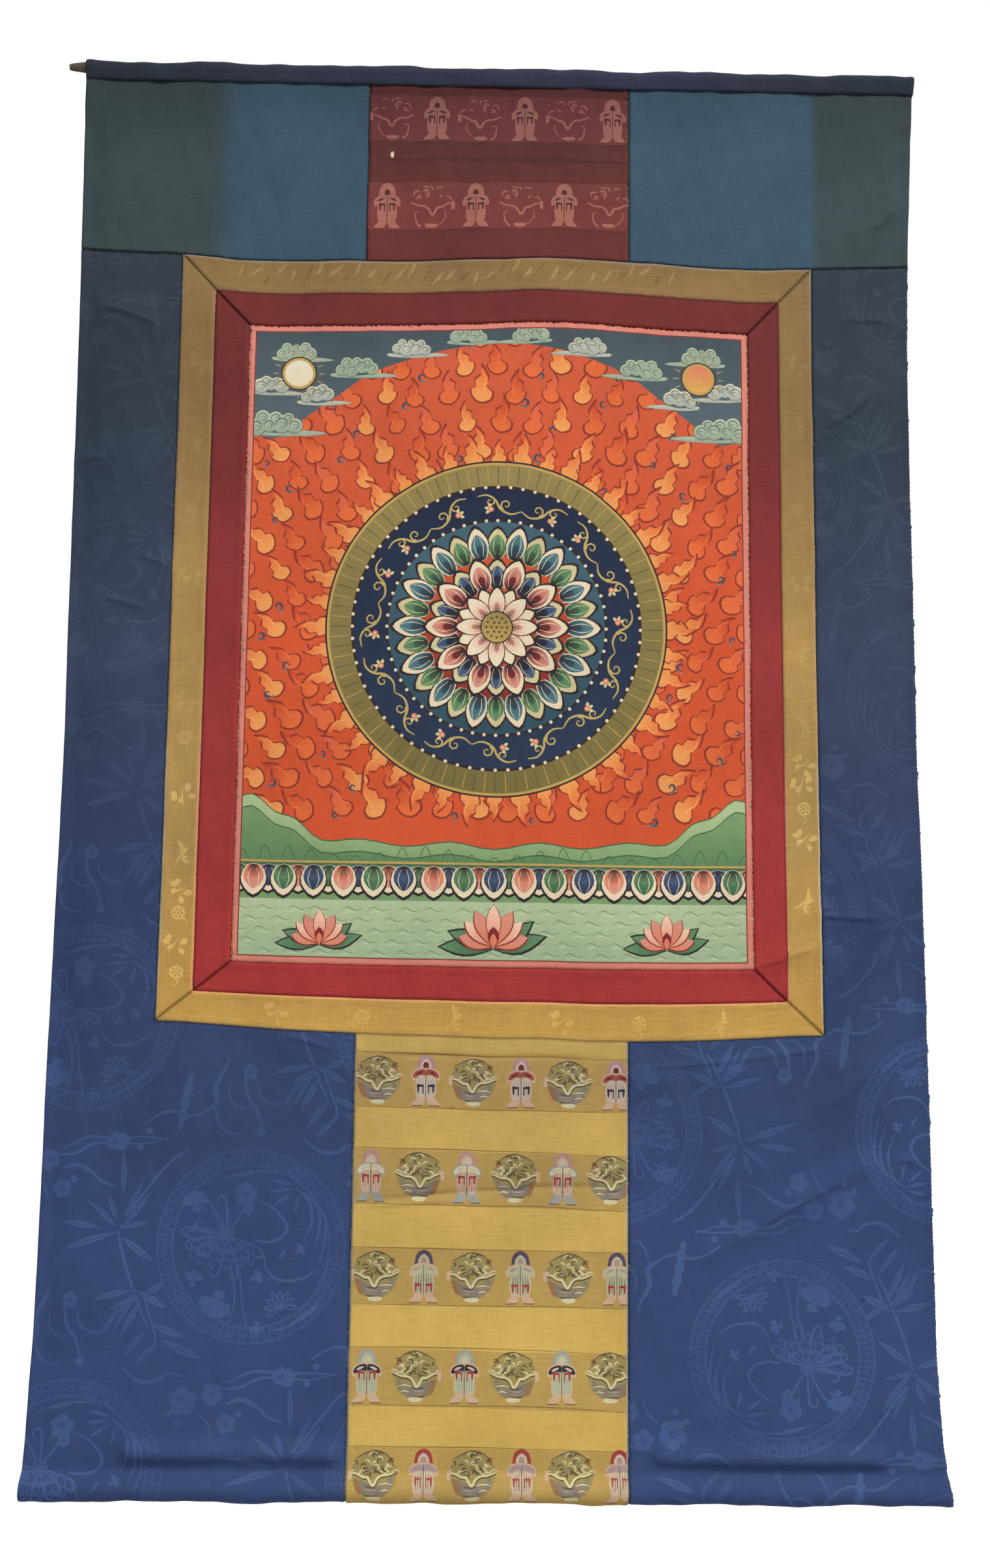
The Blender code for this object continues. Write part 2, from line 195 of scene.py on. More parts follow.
# Inks: threads, dyes and paints, as sRGB 0 to 255 and a gloss from 0 to 1. A cloth's _top, _mid, _low and _foot inks
# are copies of its ink that paint shade by level. The cloths are darker towards the top, and the teal and maroon are
# darkest just under the heading, where the darkening is a painted shadow.
INKS = {
    "navy": (49, 53, 71, 0.1),
    "navy_grey": (42, 49, 58, 0.1),
    "navy_dark": (38, 43, 58, 0.1),
    "teal": (54, 78, 95, 0.3),
    "teal_top": (48, 69, 84, 0.3),
    "teal_dull": (54, 68, 71, 0.2),
    "teal_dull_top": (46, 56, 59, 0.2),
    "maroon": (87, 43, 40, 0.3),
    "maroon_top": (70, 31, 32, 0.3),
    "maroon_low": (98, 45, 41, 0.3),
    "gold_cloth": (167, 134, 77, 0.4),
    "gold_top": (132, 105, 65, 0.4),
    "gold_low": (188, 147, 75, 0.4),
    # gold_figure_and_sheen is the woven figure and also the painted sheen of the top strip's streaks; gold_shade is
    # those streaks' painted shade.
    "gold_figure_and_sheen": (196, 163, 100, 0.9),
    "gold_shade": (148, 117, 64, 0.2),
    "crimson": (143, 50, 50, 0.3),
    "crimson_top": (106, 42, 41, 0.3),
    "crimson_foot": (161, 52, 52, 0.3),
    "blue": (53, 71, 113, 0.3),
    "blue_top": (45, 54, 67, 0.3),
    "blue_mid": (52, 62, 86, 0.3),
    "blue_low": (46, 61, 96, 0.3),
    "blue_figure": (67, 89, 136, 0.8),
    "blue_figure_soft": (60, 80, 125, 0.6),
    "brocade": (207, 173, 91, 0.4),
    "brocade_top": (186, 155, 86, 0.4),
    "raw_cotton": (178, 160, 128, 0.0),
    "lining": (96, 84, 70, 0.0),
    "edge_pale": (176, 162, 136, 0.2),
    "edge_salmon": (196, 142, 104, 0.2),
    "edge_grey": (158, 150, 128, 0.2),
    "w_rose": (178, 140, 128, 0.3),
    "w_wine": (120, 40, 44, 0.3),
    "w_brick": (160, 84, 66, 0.3),
    "w_pearl": (196, 184, 160, 0.3),
    "w_ink": (52, 48, 56, 0.3),
    "w_blush": (205, 170, 138, 0.3),
    "w_cream": (212, 200, 156, 0.3),
    "w_red": (158, 64, 60, 0.3),
    "w_grey": (158, 158, 146, 0.3),
    "w_plum": (92, 72, 92, 0.3),
    "w_celadon": (178, 182, 146, 0.3),
    "w_lilac": (168, 150, 152, 0.3),
    "w_shade": (112, 92, 66, 0.3),
    "w_olive": (156, 140, 84, 0.3),
    "w_dark": (96, 84, 56, 0.3),
    "w_dusk": (132, 122, 108, 0.3),
    "w_brown": (150, 112, 76, 0.3),
    "p_rose": (146, 94, 84, 0.3),
    "p_dark": (74, 38, 38, 0.3),
    "maroon_band": (104, 52, 50, 0.3),
    "brocade_band": (184, 152, 84, 0.3),
    "brocade_line": (140, 108, 58, 0.3),
    "vermilion": (200, 82, 48, 0.0),
    "vermilion_old": (196, 88, 58, 0.0),
    "flame_line": (134, 56, 44, 0.0),
    "flame_red": (190, 70, 44, 0.0),
    "flame_orange": (216, 104, 56, 0.0),
    "flame_gold": (226, 150, 84, 0.0),
    "flame_rose": (204, 92, 68, 0.0),
    "indigo_grey": (62, 72, 88, 0.0),
    "mist": (164, 160, 140, 0.0),
    "line_dark": (50, 42, 44, 0.0),
    "halo_gold": (184, 150, 84, 0.3),
    "olive": (116, 104, 60, 0.0),
    "olive_pale": (142, 126, 76, 0.0),
    "olive_dark": (86, 78, 48, 0.0),
    "indigo": (44, 56, 78, 0.0),
    "indigo_deep": (36, 44, 64, 0.0),
    "teal_deep": (50, 78, 90, 0.0),
    "teal_paint": (66, 96, 108, 0.0),
    "wine_paint": (124, 44, 44, 0.0),
    "bone": (222, 204, 172, 0.0),
    "bone_line": (100, 72, 60, 0.0),
    "scroll_gold": (186, 160, 96, 0.3),
    "scroll_pale": (206, 190, 140, 0.0),
    "coral": (212, 122, 94, 0.0),
    "petal_teal": (84, 122, 128, 0.0),
    "petal_teal_deep": (50, 80, 92, 0.0),
    "petal_rim": (200, 186, 140, 0.0),
    "petal_green": (98, 136, 96, 0.0),
    "petal_green_deep": (60, 98, 70, 0.0),
    "petal_rose": (206, 140, 120, 0.0),
    "petal_blue": (74, 92, 122, 0.0),
    "petal_white": (226, 212, 186, 0.0),
    "petal_pale": (232, 196, 168, 0.0),
    "sky_dark": (66, 78, 84, 0.0),
    "sky_grey": (86, 100, 106, 0.0),
    "cloud_line": (92, 100, 92, 0.0),
    "cloud_pale": (178, 188, 160, 0.0),
    "cloud_green": (136, 152, 132, 0.0),
    "cloud_cream": (206, 202, 176, 0.0),
    "cloud_grey": (150, 156, 148, 0.0),
    "moon": (214, 208, 186, 0.0),
    "sun_gold": (206, 160, 80, 0.2),
    "hill_line": (66, 92, 66, 0.0),
    "hill_pale": (166, 184, 136, 0.0),
    "hill_green": (120, 150, 104, 0.0),
    "hill_deep": (92, 128, 86, 0.0),
    "water_pale": (172, 186, 148, 0.0),
    "water_green": (150, 170, 134, 0.0),
    "water_line": (120, 144, 116, 0.0),
    "water_light": (196, 204, 168, 0.0),
    "border_dark": (120, 58, 54, 0.0),
    "border_rose": (206, 126, 110, 0.0),
}


def linear(value):
    """An sRGB value from 0 to 255 as linear light."""
    share = value / 255
    return share / 12.92 if share <= 0.04045 else ((share + 0.055) / 1.055) ** 2.4


def ink(name):
    red, green, blue, gloss = INKS[name]
    return (linear(red), linear(green), linear(blue), gloss)


# Shapes of the hanging cloth.


def through(table, places, column):
    """One column's values at the places, along a smooth curve through the table's rows."""
    rows = np.array(sorted(table))
    knots, values = rows[:, 0], rows[:, column]
    last = len(knots) - 1
    after = np.minimum(np.arange(last + 1) + 1, last)
    before = np.maximum(np.arange(last + 1) - 1, 0)
    slopes = (values[after] - values[before]) / (knots[after] - knots[before])
    places = np.clip(places, knots[0], knots[-1])
    low = np.clip(np.searchsorted(knots, places, side="right") - 1, 0, last - 1)
    step = knots[low + 1] - knots[low]
    t = (places - knots[low]) / step
    return (
        values[low] * (1 + 2 * t) * (1 - t) ** 2
        + slopes[low] * step * t * (1 - t) ** 2
        + values[low + 1] * t * t * (3 - 2 * t)
        + slopes[low + 1] * step * t * t * (t - 1)
    )


def smooth(low, high, value):
    t = np.clip((value - low) / (high - low), 0.0, 1.0)
    return t * t * (3 - 2 * t)


def along_segment(points, start, end):
    """Each point's distance from a segment, and its share of the way along it."""
    start, end = np.asarray(start, float), np.asarray(end, float)
    way = end - start
    share = np.clip((points - start) @ way / (way @ way), 0.0, 1.0)
    return np.hypot(*(points - start - share[:, None] * way).T), share


def fold_rise(points):
    """How far the cloth stands towards the viewer, from its main folds."""
    rise = np.zeros(len(points))
    for from_across, from_level, to_across, to_level, half_width, height in FOLDS:
        distance, _ = along_segment(points, (from_across, from_level), (to_across, to_level))
        rise += height * np.exp(-((distance / half_width) ** 2))
    level = points[:, 1]
    return rise * smooth(-0.03, -0.08, level) * smooth(SLEEVE_SEAM, SLEEVE_SEAM + 0.014, level)


def crease_rise(points):
    """The narrow creases. Each is full in its middle and fades out at its ends."""
    rise = np.zeros(len(points))
    for half_width, height, line in CREASES:
        nearest = np.full(len(points), 1.0)
        place = np.zeros(len(points))
        for index, (start, end) in enumerate(zip(line, line[1:])):
            distance, share = along_segment(points, start, end)
            closer = distance < nearest
            nearest = np.where(closer, distance, nearest)
            place = np.where(closer, (index + share) / (len(line) - 1), place)
        fade = smooth(0.0, 0.25, place) * smooth(1.0, 0.75, place)
        rise += height * fade * np.exp(-((nearest / half_width) ** 2))
    return rise


def cockle(points):
    """The slight unevenness of old cloth: small waves of many sizes."""
    across, level = points.T
    waves = (
        # waves per metre across, down, start, height
        (5.1, 3.3, 0.4, 0.0008),
        (-8.7, 6.1, 1.9, 0.0005),
        (13.0, -4.2, 4.4, 0.0004),
        (-19.0, 15.0, 2.7, 0.00025),
        (31.0, 9.0, 5.2, 0.0002),
        (7.0, -27.0, 0.9, 0.0002),
    )
    rise = np.zeros(len(points))
    for per_across, per_down, start, height in waves:
        rise += height * np.sin(2 * math.pi * (per_across * across + per_down * level) + start)
    return rise


class Loop:
    """The way of a cloth, as points (y, z), from start round the far side of a rod to end.

    over is 1 where it passes above the rod and -1 where it passes below.
    """

    def __init__(self, start, end, centre, radius, over):
        self.flip = np.array((1.0, over))
        self.start = np.array(start) * self.flip
        self.end = np.array(end) * self.flip
        self.centre = np.array(centre) * self.flip
        self.radius = radius
        self.angle_on = self.tangent_angle(self.start, -1) + 2 * math.pi
        self.angle_off = self.tangent_angle(self.end, 1)
        self.reach_on = math.dist(self.on_rod(self.angle_on), self.start)
        self.round = radius * (self.angle_on - self.angle_off)
        self.reach_off = math.dist(self.on_rod(self.angle_off), self.end)
        self.length = self.reach_on + self.round + self.reach_off

    def tangent_angle(self, point, side):
        out = point - self.centre
        return math.atan2(out[1], out[0]) + side * math.acos(self.radius / math.hypot(*out))

    def on_rod(self, angle):
        return self.centre + self.radius * np.stack([np.cos(angle), np.sin(angle)], axis=-1)

    def at(self, distance):
        """Points (y, z) at distances along the way, and the outward normals there."""
        angle = self.angle_on - (distance - self.reach_on) / self.radius
        angle = np.clip(angle, self.angle_off, self.angle_on)
        normal = np.stack([np.cos(angle), np.sin(angle)], axis=-1)
        first = np.clip(distance / self.reach_on, 0.0, 1.0)[:, None]
        last = np.clip((distance - self.reach_on - self.round) / self.reach_off, 0.0, 1.0)[:, None]
        points = self.on_rod(angle)
        points += (self.start - self.on_rod(self.angle_on)) * (1 - first)
        points += (self.end - self.on_rod(self.angle_off)) * last
        return points * self.flip, normal * self.flip


HEADING = Loop(
    start=(-CAD_CLOTH - GAP, HEADING_FOOT),
    end=(CAD_CLOTH + GAP, HEADING_FOOT),
    centre=(0.0, STAVE_Z),
    radius=HEADING_RADIUS,
    over=1,
)
ROLL = Loop(
    start=(0.0, SLEEVE_SEAM),
    end=(CAD_CLOTH + GAP, SLEEVE_SEAM),
    centre=(ROLL_Y, ROLL_Z),
    radius=ROLL_RADIUS,
    over=-1,
)


def sideways(across, height):
    inset = np.where(across < 0, through(SIDE_INSET, height, 1), through(SIDE_INSET, height, 2))
    share = (np.abs(across) / MOUNT_SIDES[1]) ** 4
    return across - np.sign(across) * inset * share


def hang(points, lift):
    """The hanging places of points of the flat layout, lifted off the cloth's middle."""
    across, level = points.T
    height = level.copy()
    for column in (1, 2):
        height += through(SEAM_RISE, across, column) * through(RISE_SHARE, level, column)
    flat = np.stack([-fold_rise(points) - lift, height], axis=-1)
    rolled, out = ROLL.at(np.maximum(SLEEVE_SEAM - level, 0.0))
    rolled = rolled + out * lift[:, None]
    y, z = np.where((level < SLEEVE_SEAM)[:, None], rolled, flat).T
    return np.stack([sideways(across, z), y, z], axis=-1)


def hang_heading(points, lift):
    """The heading's own layout: level 0 is its front foot, and it goes down as the cloth goes over."""
    across, level = points.T
    way, out = HEADING.at(-level)
    y, z = (way + out * lift[:, None]).T
    return np.stack([sideways(across, z), y, z], axis=-1)


# Drawing.


def signed_area(polygon):
    x, y = np.asarray(polygon).T
    return 0.5 * float(np.sum(x * np.roll(y, -1) - np.roll(x, -1) * y))


def refine(polygon, longest):
    """The polygon with its long sides cut into shorter ones."""
    points = np.asarray(polygon, float)
    ahead = np.roll(points, -1, axis=0)
    counts = np.maximum(1, np.ceil(np.hypot(*(ahead - points).T) / longest).astype(int))
    made = [
        start + (end - start) * (np.arange(count) / count)[:, None]
        for start, end, count in zip(points, ahead, counts)
    ]
    return np.concatenate(made)


class Drawing:
    """Shapes in the flat layout, each over those before it. A shape's ink may fade into a second one."""

    def __init__(self):
        self.shapes = []
        self.inks = []

    def add(self, polygon, name, second=None, start=(0, 0), end=(0, 1)):
        polygon = np.asarray(polygon, float)
        if signed_area(polygon) < 0:
            polygon = polygon[::-1]
        self.shapes.append(polygon)
        self.inks.append((ink(name), ink(second or name), start, end))

    def clipped(self, region):
        """The shapes that reach into a region."""
        kept = Drawing()
        for shape, fade in zip(self.shapes, self.inks):
            if inside(shape, region).any() or inside(region, shape).any():
                kept.shapes.append(shape)
                kept.inks.append(fade)
        return kept


class Pen:
    """Draws in a motif's own millimetres, which are placed, turned and mirrored in the flat layout."""

    def __init__(self, drawing, across, level, turn=0.0, mirror=False, scale=1.0):
        self.drawing = drawing
        self.at = np.array((across, level), float)
        cos, sin = math.cos(math.radians(turn)), math.sin(math.radians(turn))
        flip = -1.0 if mirror else 1.0
        self.matrix = scale * MM * np.array([[cos * flip, -sin], [sin * flip, cos]])

    def spot(self, points):
        return np.asarray(points, float) @ self.matrix.T + self.at

    def pen(self, x, y, turn=0.0, mirror=False, scale=1.0):
        """A pen of its own for a part of the motif."""
        part = Pen(self.drawing, 0.0, 0.0, turn, mirror, scale)
        part.matrix = self.matrix @ part.matrix / MM
        part.at = self.spot((x, y))
        return part

    def fill(self, points, name, second=None, start=(0, 0), end=(0, 1)):
        self.drawing.add(self.spot(points), name, second, self.spot(start), self.spot(end))

    def patch(self, knots, name, second=None, start=(0, 0), end=(0, 1), steps=4):
        """A smooth closed shape through the knots."""
        self.fill(curve(knots, True, steps), name, second, start, end)

    def disc(self, x, y, radius, name, second=None, squash=1.0, sides=14):
        angles = np.arange(sides) * (2 * math.pi / sides)
        points = np.stack([x + radius * np.cos(angles), y + radius * squash * np.sin(angles)], axis=-1)
        self.fill(points, name, second, (x, y - radius), (x, y + radius))

    def stroke(self, knots, widths, name, steps=5, second=None):
        """A line of changing width along a smooth curve. widths are spread evenly along it."""
        line = curve(knots, False, steps)
        way = np.gradient(line, axis=0)
        way /= np.maximum(np.hypot(*way.T), 1e-9)[:, None]
        out = np.stack([-way[:, 1], way[:, 0]], axis=-1)
        places = np.linspace(0, 1, len(line))
        half = np.interp(places, np.linspace(0, 1, len(widths)), widths)[:, None] / 2
        sides = np.concatenate([line + out * half, (line - out * half)[::-1]])
        self.fill(sides, name, second, line[0], line[-1])

    def leaf(self, x, y, length, width, turn, name, bend=0.0, blunt=0.0, second=None, sides=6):
        """A leaf or petal from its foot. bend moves its tip sideways; blunt is 0 for a point, 1 for round."""
        t = np.linspace(0, 1, sides + 1)
        profile = np.sin(math.pi * t ** (1 + 0.5 * blunt)) ** (1 - 0.35 * blunt)
        profile[[0, -1]] = 0.0
        middle = np.stack([length * t, bend * t * t], axis=-1)
        left = middle + np.stack([np.zeros_like(t), profile * width / 2], axis=-1)
        right = middle - np.stack([np.zeros_like(t), profile * width / 2], axis=-1)
        outline = np.concatenate([left, right[-2:0:-1]])
        self.pen(x, y, turn).fill(outline, name, second, (0, 0), (length, 0))

    def arc(self, x, y, radius, begin, end, widths, name, steps=10):
        angles = np.radians(np.linspace(begin, end, steps))
        line = np.stack([x + radius * np.cos(angles), y + radius * np.sin(angles)], axis=-1)
        self.stroke(line, widths, name, 1)

    def curl(self, x, y, size, turn, widths, name, rounds=1.1, hand=1, steps=13):
        """A line that rolls up, from its foot."""
        t = np.linspace(0, 1, steps)
        angles = 2 * math.pi * rounds * t * hand
        radius = size * (1 - 0.8 * t)
        line = np.stack([radius * np.sin(angles) * hand, size - radius * np.cos(angles)], axis=-1)
        self.pen(x, y, turn, hand < 0).stroke(line, widths, name, 1)

    def ring(self, x, y, inner, outer, name, sides=28, second=None):
        for begin in (0.0, 180.0):
            angles = np.radians(np.linspace(begin, begin + 180.0, sides // 2 + 1))
            round_ = np.stack([np.cos(angles), np.sin(angles)], axis=-1)
            both = np.concatenate([round_ * outer, (round_ * inner)[::-1]]) + (x, y)
            self.fill(both, name, second, (x, y - outer), (x, y + outer))


def curve(knots, closed, steps):
    """A smooth line through the knots, with some steps between each two."""
    knots = np.asarray(knots, float)
    if closed:
        run = np.concatenate([knots[-1:], knots, knots[:2]])
    else:
        run = np.concatenate([2 * knots[:1] - knots[1:2], knots, 2 * knots[-1:] - knots[-2:-1]])
    t = (np.arange(steps) / steps)[:, None]
    parts = []
    for before, low, high, after in zip(run, run[1:], run[2:], run[3:]):
        slope_low, slope_high = (high - before) / 2, (after - low) / 2
        parts.append(
            low * (2 * t**3 - 3 * t**2 + 1)
            + slope_low * (t**3 - 2 * t**2 + t)
            + high * (3 * t**2 - 2 * t**3)
            + slope_high * (t**3 - t**2)
        )
    if not closed:
        parts.append(knots[-1:])
    return np.concatenate(parts)


def inside(points, polygon):
    """Which points are inside the polygon."""
    found = np.zeros(len(points), bool)
    x, y = points.T
    for start, end in zip(polygon, np.roll(polygon, -1, axis=0)):
        if start[1] == end[1]:
            continue
        crosses = (start[1] > y) != (end[1] > y)
        at = start[0] + (y - start[1]) * (end[0] - start[0]) / (end[1] - start[1])
        found ^= crosses & (x < at)
    return found


def widened(polygon, margins):
    """The polygon with each of its sides moved outward by that side's margin."""
    polygon = np.asarray(polygon, float)
    turn = 1 if signed_area(polygon) > 0 else -1
    ahead = np.roll(polygon, -1, axis=0)
    way = (ahead - polygon) / np.hypot(*(ahead - polygon).T)[:, None]
    out = np.stack([way[:, 1], -way[:, 0]], axis=-1) * turn
    moved = []
    for index, corner in enumerate(polygon):
        sides = np.array([out[index - 1], out[index]])
        reach = np.array([margins[index - 1], margins[index]])
        moved.append(corner + np.linalg.solve(sides, reach))
    return np.array(moved)


def rectangle(left, right, top, foot):
    return [(left, top), (right, top), (right, foot), (left, foot)]


# The blue damask: rounds with a chrysanthemum in a ring of links, bamboo and plum boughs between them.

ROUND_PERIOD = (0.382, 0.490)
ROUND_RADIUS = 104.0
FIGURE = "blue_figure"
FIGURE_SOFT = "blue_figure_soft"

BAMBOO_LEAVES = (
    # foot x, foot y, tip x, tip y, width
    (-147, 16, -181, 48, 6),
    (-149, 24, -158, 52, 6),
    (-143, 52, -142, 97, 7),
    (-146, 14, -106, 56, 6),
    (-142, 28, -118, 66, 5),
    (-146, 16, -111, 22, 5),
    (-148, 12, -212, -3, 8),
    (-166, 16, -212, 27, 7),
    (-143, 8, -108, -20, 8),
    (-128, -48, -172, -56, 7),
    (-127, -52, -160, -86, 6),
    (-125, -54, -150, -90, 5),
    (-125, -48, -90, -68, 8),
    (-110, -88, -136, -117, 7),
    (-107, -81, -70, -99, 8),
    (-94, -99, -50, -122, 9),
    (74, 191, 37, 178, 6),
    (73, 186, 48, 147, 7),
    (76, 193, 100, 204, 6),
    (69, 119, 90, 139, 5),
)

BAMBOO_STEMS = (
    # width, line
    (3.2, ((-147, 14), (-140, -12), (-133, -33), (-126, -50))),
    (2.6, ((-126, -50), (-118, -70), (-109, -87))),
    (3.4, ((-139, 30), (-122, 50), (-107, 69), (-90, 88), (-70, 101))),
    (2.6, ((75, 191), (84, 168), (91, 145), (82, 130), (69, 119))),
    (8.0, ((-71, 180), (-77, 150), (-82, 122))),
)

PLUM_TWIGS = (
    # width, line
    (3.4, ((-213, 101), (-184, 113), (-155, 111), (-117, 112), (-94, 110))),
    (4.6, ((-213, 79), (-198, 84), (-182, 78), (-168, 66), (-152, 60))),
    (4.0, ((-136, -129), (-117, -142), (-98, -142), (-86, -134), (-72, -137))),
    (3.6, ((-30, -150), (-8, -149), (14, -139), (43, -139), (70, -140), (96, -133))),
    (3.0, ((-53, -174), (-42, -184), (-36, -200))),
    (3.6, ((-122, 126), (-104, 137), (-88, 140), (-70, 136), (-54, 142), (-40, 153))),
    (6.0, ((-54, 142), (-42, 152), (-44, 168), (-34, 188), (-30, 200))),
    (2.6, ((-44, 146), (-38, 128), (-28, 120), (-14, 119))),
    (2.6, ((2, 176), (7, 160), (20, 153), (34, 155), (43, 166))),
    (2.6, ((-28, 176), (-28, 158), (-16, 148), (-2, 150))),
    (5.0, ((-12, 182), (-8, 160), (2, 146), (8, 128))),
)

PLUM_BLOSSOMS = (
    # x, y, radius, turn
    (-154, 108, 10, 10),
    (-126, 101, 4, 0),
    (-116, 119, 4, 0),
    (-69, -163, 16, 20),
    (-37, -156, 12, 50),
    (43, -138, 10, 0),
    (-21, -186, 11, 30),
    (-84, -176, 4, 0),
    (-8, -176, 4, 0),
    (4, -166, 3, 0),
    (-72, -186, 4, 0),
    (-6, 186, 9, 15),
    (8, 122, 5, 0),
)

PETAL_HOOKS = (
    # turn, length, hand
    (172, 50, 1),
    (158, 44, -1),
    (140, 36, -1),
    (122, 44, 1),
    (108, 47, -1),
    (94, 42, 1),
    (78, 46, -1),
    (60, 40, 1),
    (42, 36, -1),
    (24, 40, -1),
    (6, 44, -1),
    (-12, 36, -1),
    (190, 46, 1),
    (206, 38, 1),
)


def blossom(pen, x, y, radius, turn, name, centre):
    """A plum blossom of five round petals, or a bud where it is small."""
    if radius < 6:
        pen.disc(x, y, radius, name, sides=9)
        return
    for step in range(5):
        angle = math.radians(turn + step * 72)
        reach = radius * 0.56
        pen.disc(x + reach * math.cos(angle), y + reach * math.sin(angle), radius * 0.47, name, sides=10)
    pen.disc(x, y, radius * 0.24, centre, sides=8)
    pen.disc(x, y, radius * 0.12, name, sides=6)


def knuckled_stem(pen, width, line, name):
    """A bamboo stem with its joints."""
    pen.stroke(line, [width * 0.7, width, width * 0.7], name)
    spots = curve(line, False, 2)
    for x, y in spots[1:-1]:
        pen.disc(x, y, width * 0.72, name, sides=8)


def chain_ring(pen, radius, width, count):
    """Two rows of links between two thin circles."""
    pen.ring(0, 0, radius - 1.5, radius, FIGURE, 56)
    pen.ring(0, 0, radius - width, radius - width + 1.5, FIGURE, 48)
    for row, offset in ((0.27, 0.0), (0.72, 0.5)):
        reach = radius - width * row
        for index in range(count):
            turn = 360.0 * (index + offset) / count
            link = pen.pen(reach * math.cos(math.radians(turn)), reach * math.sin(math.radians(turn)), turn)
            long_side, short_side = width * 0.25, math.pi * reach / count * 0.86
            for grow, name in ((1.0, FIGURE_SOFT), (0.48, "blue")):
                x, y = long_side * grow, short_side * grow
                corners = ((-x, -y * 0.6), (-x * 0.7, -y), (x * 0.7, -y), (x, -y * 0.6))
                link.fill(corners + tuple((-a, -b) for a, b in corners), name)


def chrysanthemum(pen):
    """A large flower of hooked petals, with its leaves, buds and sweeping stems."""
    flower = pen.pen(-27, 11)
    flower.stroke(((4, -28), (10, -52), (10, -74), (4, -99)), [2.4, 2.0, 1.6], FIGURE)
    flower.stroke(((16, -40), (19, -70), (25, -98)), [1.8, 1.5], FIGURE)
    for turn, length, hand in PETAL_HOOKS:
        petal = flower.pen(0, 0, turn, hand < 0)
        hook = ((6, 0), (length * 0.5, -1.5), (length * 0.88, -1), (length, 4), (length * 0.9, 8), (length * 0.74, 6))
        petal.stroke(hook, [1.6, 3.0, 2.6, 2.2, 1.4], FIGURE)
        petal.stroke(((5, 3), (length * 0.4, 3.2), (length * 0.72, 2.8)), [0.8, 1.8, 0.8], FIGURE_SOFT)
    for row, (count, reach, low) in enumerate(((9, 14, -6), (8, 23, -10), (7, 32, -12))):
        for index in range(count):
            turn = 205 + 130 * index / (count - 1)
            x = reach * 1.25 * math.cos(math.radians(turn))
            y = low + reach * 0.62 * math.sin(math.radians(turn))
            flower.arc(x, y, 4.6 - 0.4 * row, turn - 110, turn + 110, [1.0, 2.0, 1.0], FIGURE, 8)
            flower.disc(x, y, 1.3, FIGURE_SOFT, sides=6)
    flower.disc(0, 0, 9, FIGURE, sides=12)
    for index in range(7):
        turn = math.radians(index * 360 / 7)
        flower.disc(6 * math.cos(turn), 6 * math.sin(turn), 1.3, "blue", sides=6)
    lobed = (
        # x, y, size, turn, lobes
        (-61, 42, 13, 100, 5),
        (-62, -38, 10, 80, 3),
        (-35, -57, 17, 250, 5),
        (9, -84, 8, 270, 3),
        (5, -33, 8, 20, 3),
        (52, -4, 7, 30, 3),
    )
    for x, y, size, turn, lobes in lobed:
        leaf = pen.pen(x, y, turn)
        for step in range(lobes):
            leaf.leaf(0, 0, size * 1.25, size * 0.75, (step - (lobes - 1) / 2) * 150 / lobes, FIGURE, blunt=1)
            leaf.leaf(0, 0, -size * 0.6, size * 0.5, (step - (lobes - 1) / 2) * 60 / lobes, FIGURE, blunt=1)
    blossom(pen, -7, 55, 13, 15, FIGURE, "blue")
    blossom(pen, -4, 40, 7, 50, FIGURE, "blue")
    sweeps = (
        # widths, line
        ((1.4, 4.2, 2.4), ((6, 49), (20, 43), (32, 33), (39, 20), (32, 9), (18, 5), (4, 6))),
        ((1.2, 3.4, 1.4), ((14, -7), (18, -24), (28, -34), (42, -36), (58, -33), (72, -24))),
        ((1.4, 3.6, 1.0), ((46, 64), (62, 50), (66, 28), (58, 6))),
        ((1.2, 3.4, 1.0), ((50, 62), (70, 46), (75, 22), (68, -4))),
        ((1.2, 3.2, 1.0), ((54, 60), (79, 36), (81, 12), (76, -16))),
        ((1.0, 3.0, 1.0), ((30, 80), (-4, 79), (-34, 70))),
        ((1.0, 3.4, 1.2), ((21, -90), (44, -84), (60, -72), (76, -58))),
    )
    for widths, line in sweeps:
        pen.stroke(line, widths, FIGURE)
    slim = (
        # x, y, length, width, turn
        (46, 66, 26, 4, 168),
        (45, 62, 27, 4, 188),
        (44, 58, 26, 4, 215),
        (48, 70, 18, 4, 130),
        (30, -14, 15, 4, 52),
        (-23, 73, 35, 5, 14),
        (46, -82, 36, 6, 34),
        (52, 56, 22, 4, 255),
    )
    for x, y, length, width, turn in slim:
        pen.leaf(x, y, length, width, turn, FIGURE)
    fan = pen.pen(34, -64, 20)
    for step in range(8):
        turn = -20 + step * 31
        fan.leaf(0, 0, 20 - 2 * (step % 2), 6, turn, FIGURE, blunt=1)
        fan.leaf(4 * math.cos(math.radians(turn)), 4 * math.sin(math.radians(turn)), 11, 2.6, turn, "blue", blunt=1)
    fan.disc(0, 0, 3.4, FIGURE, sides=8)


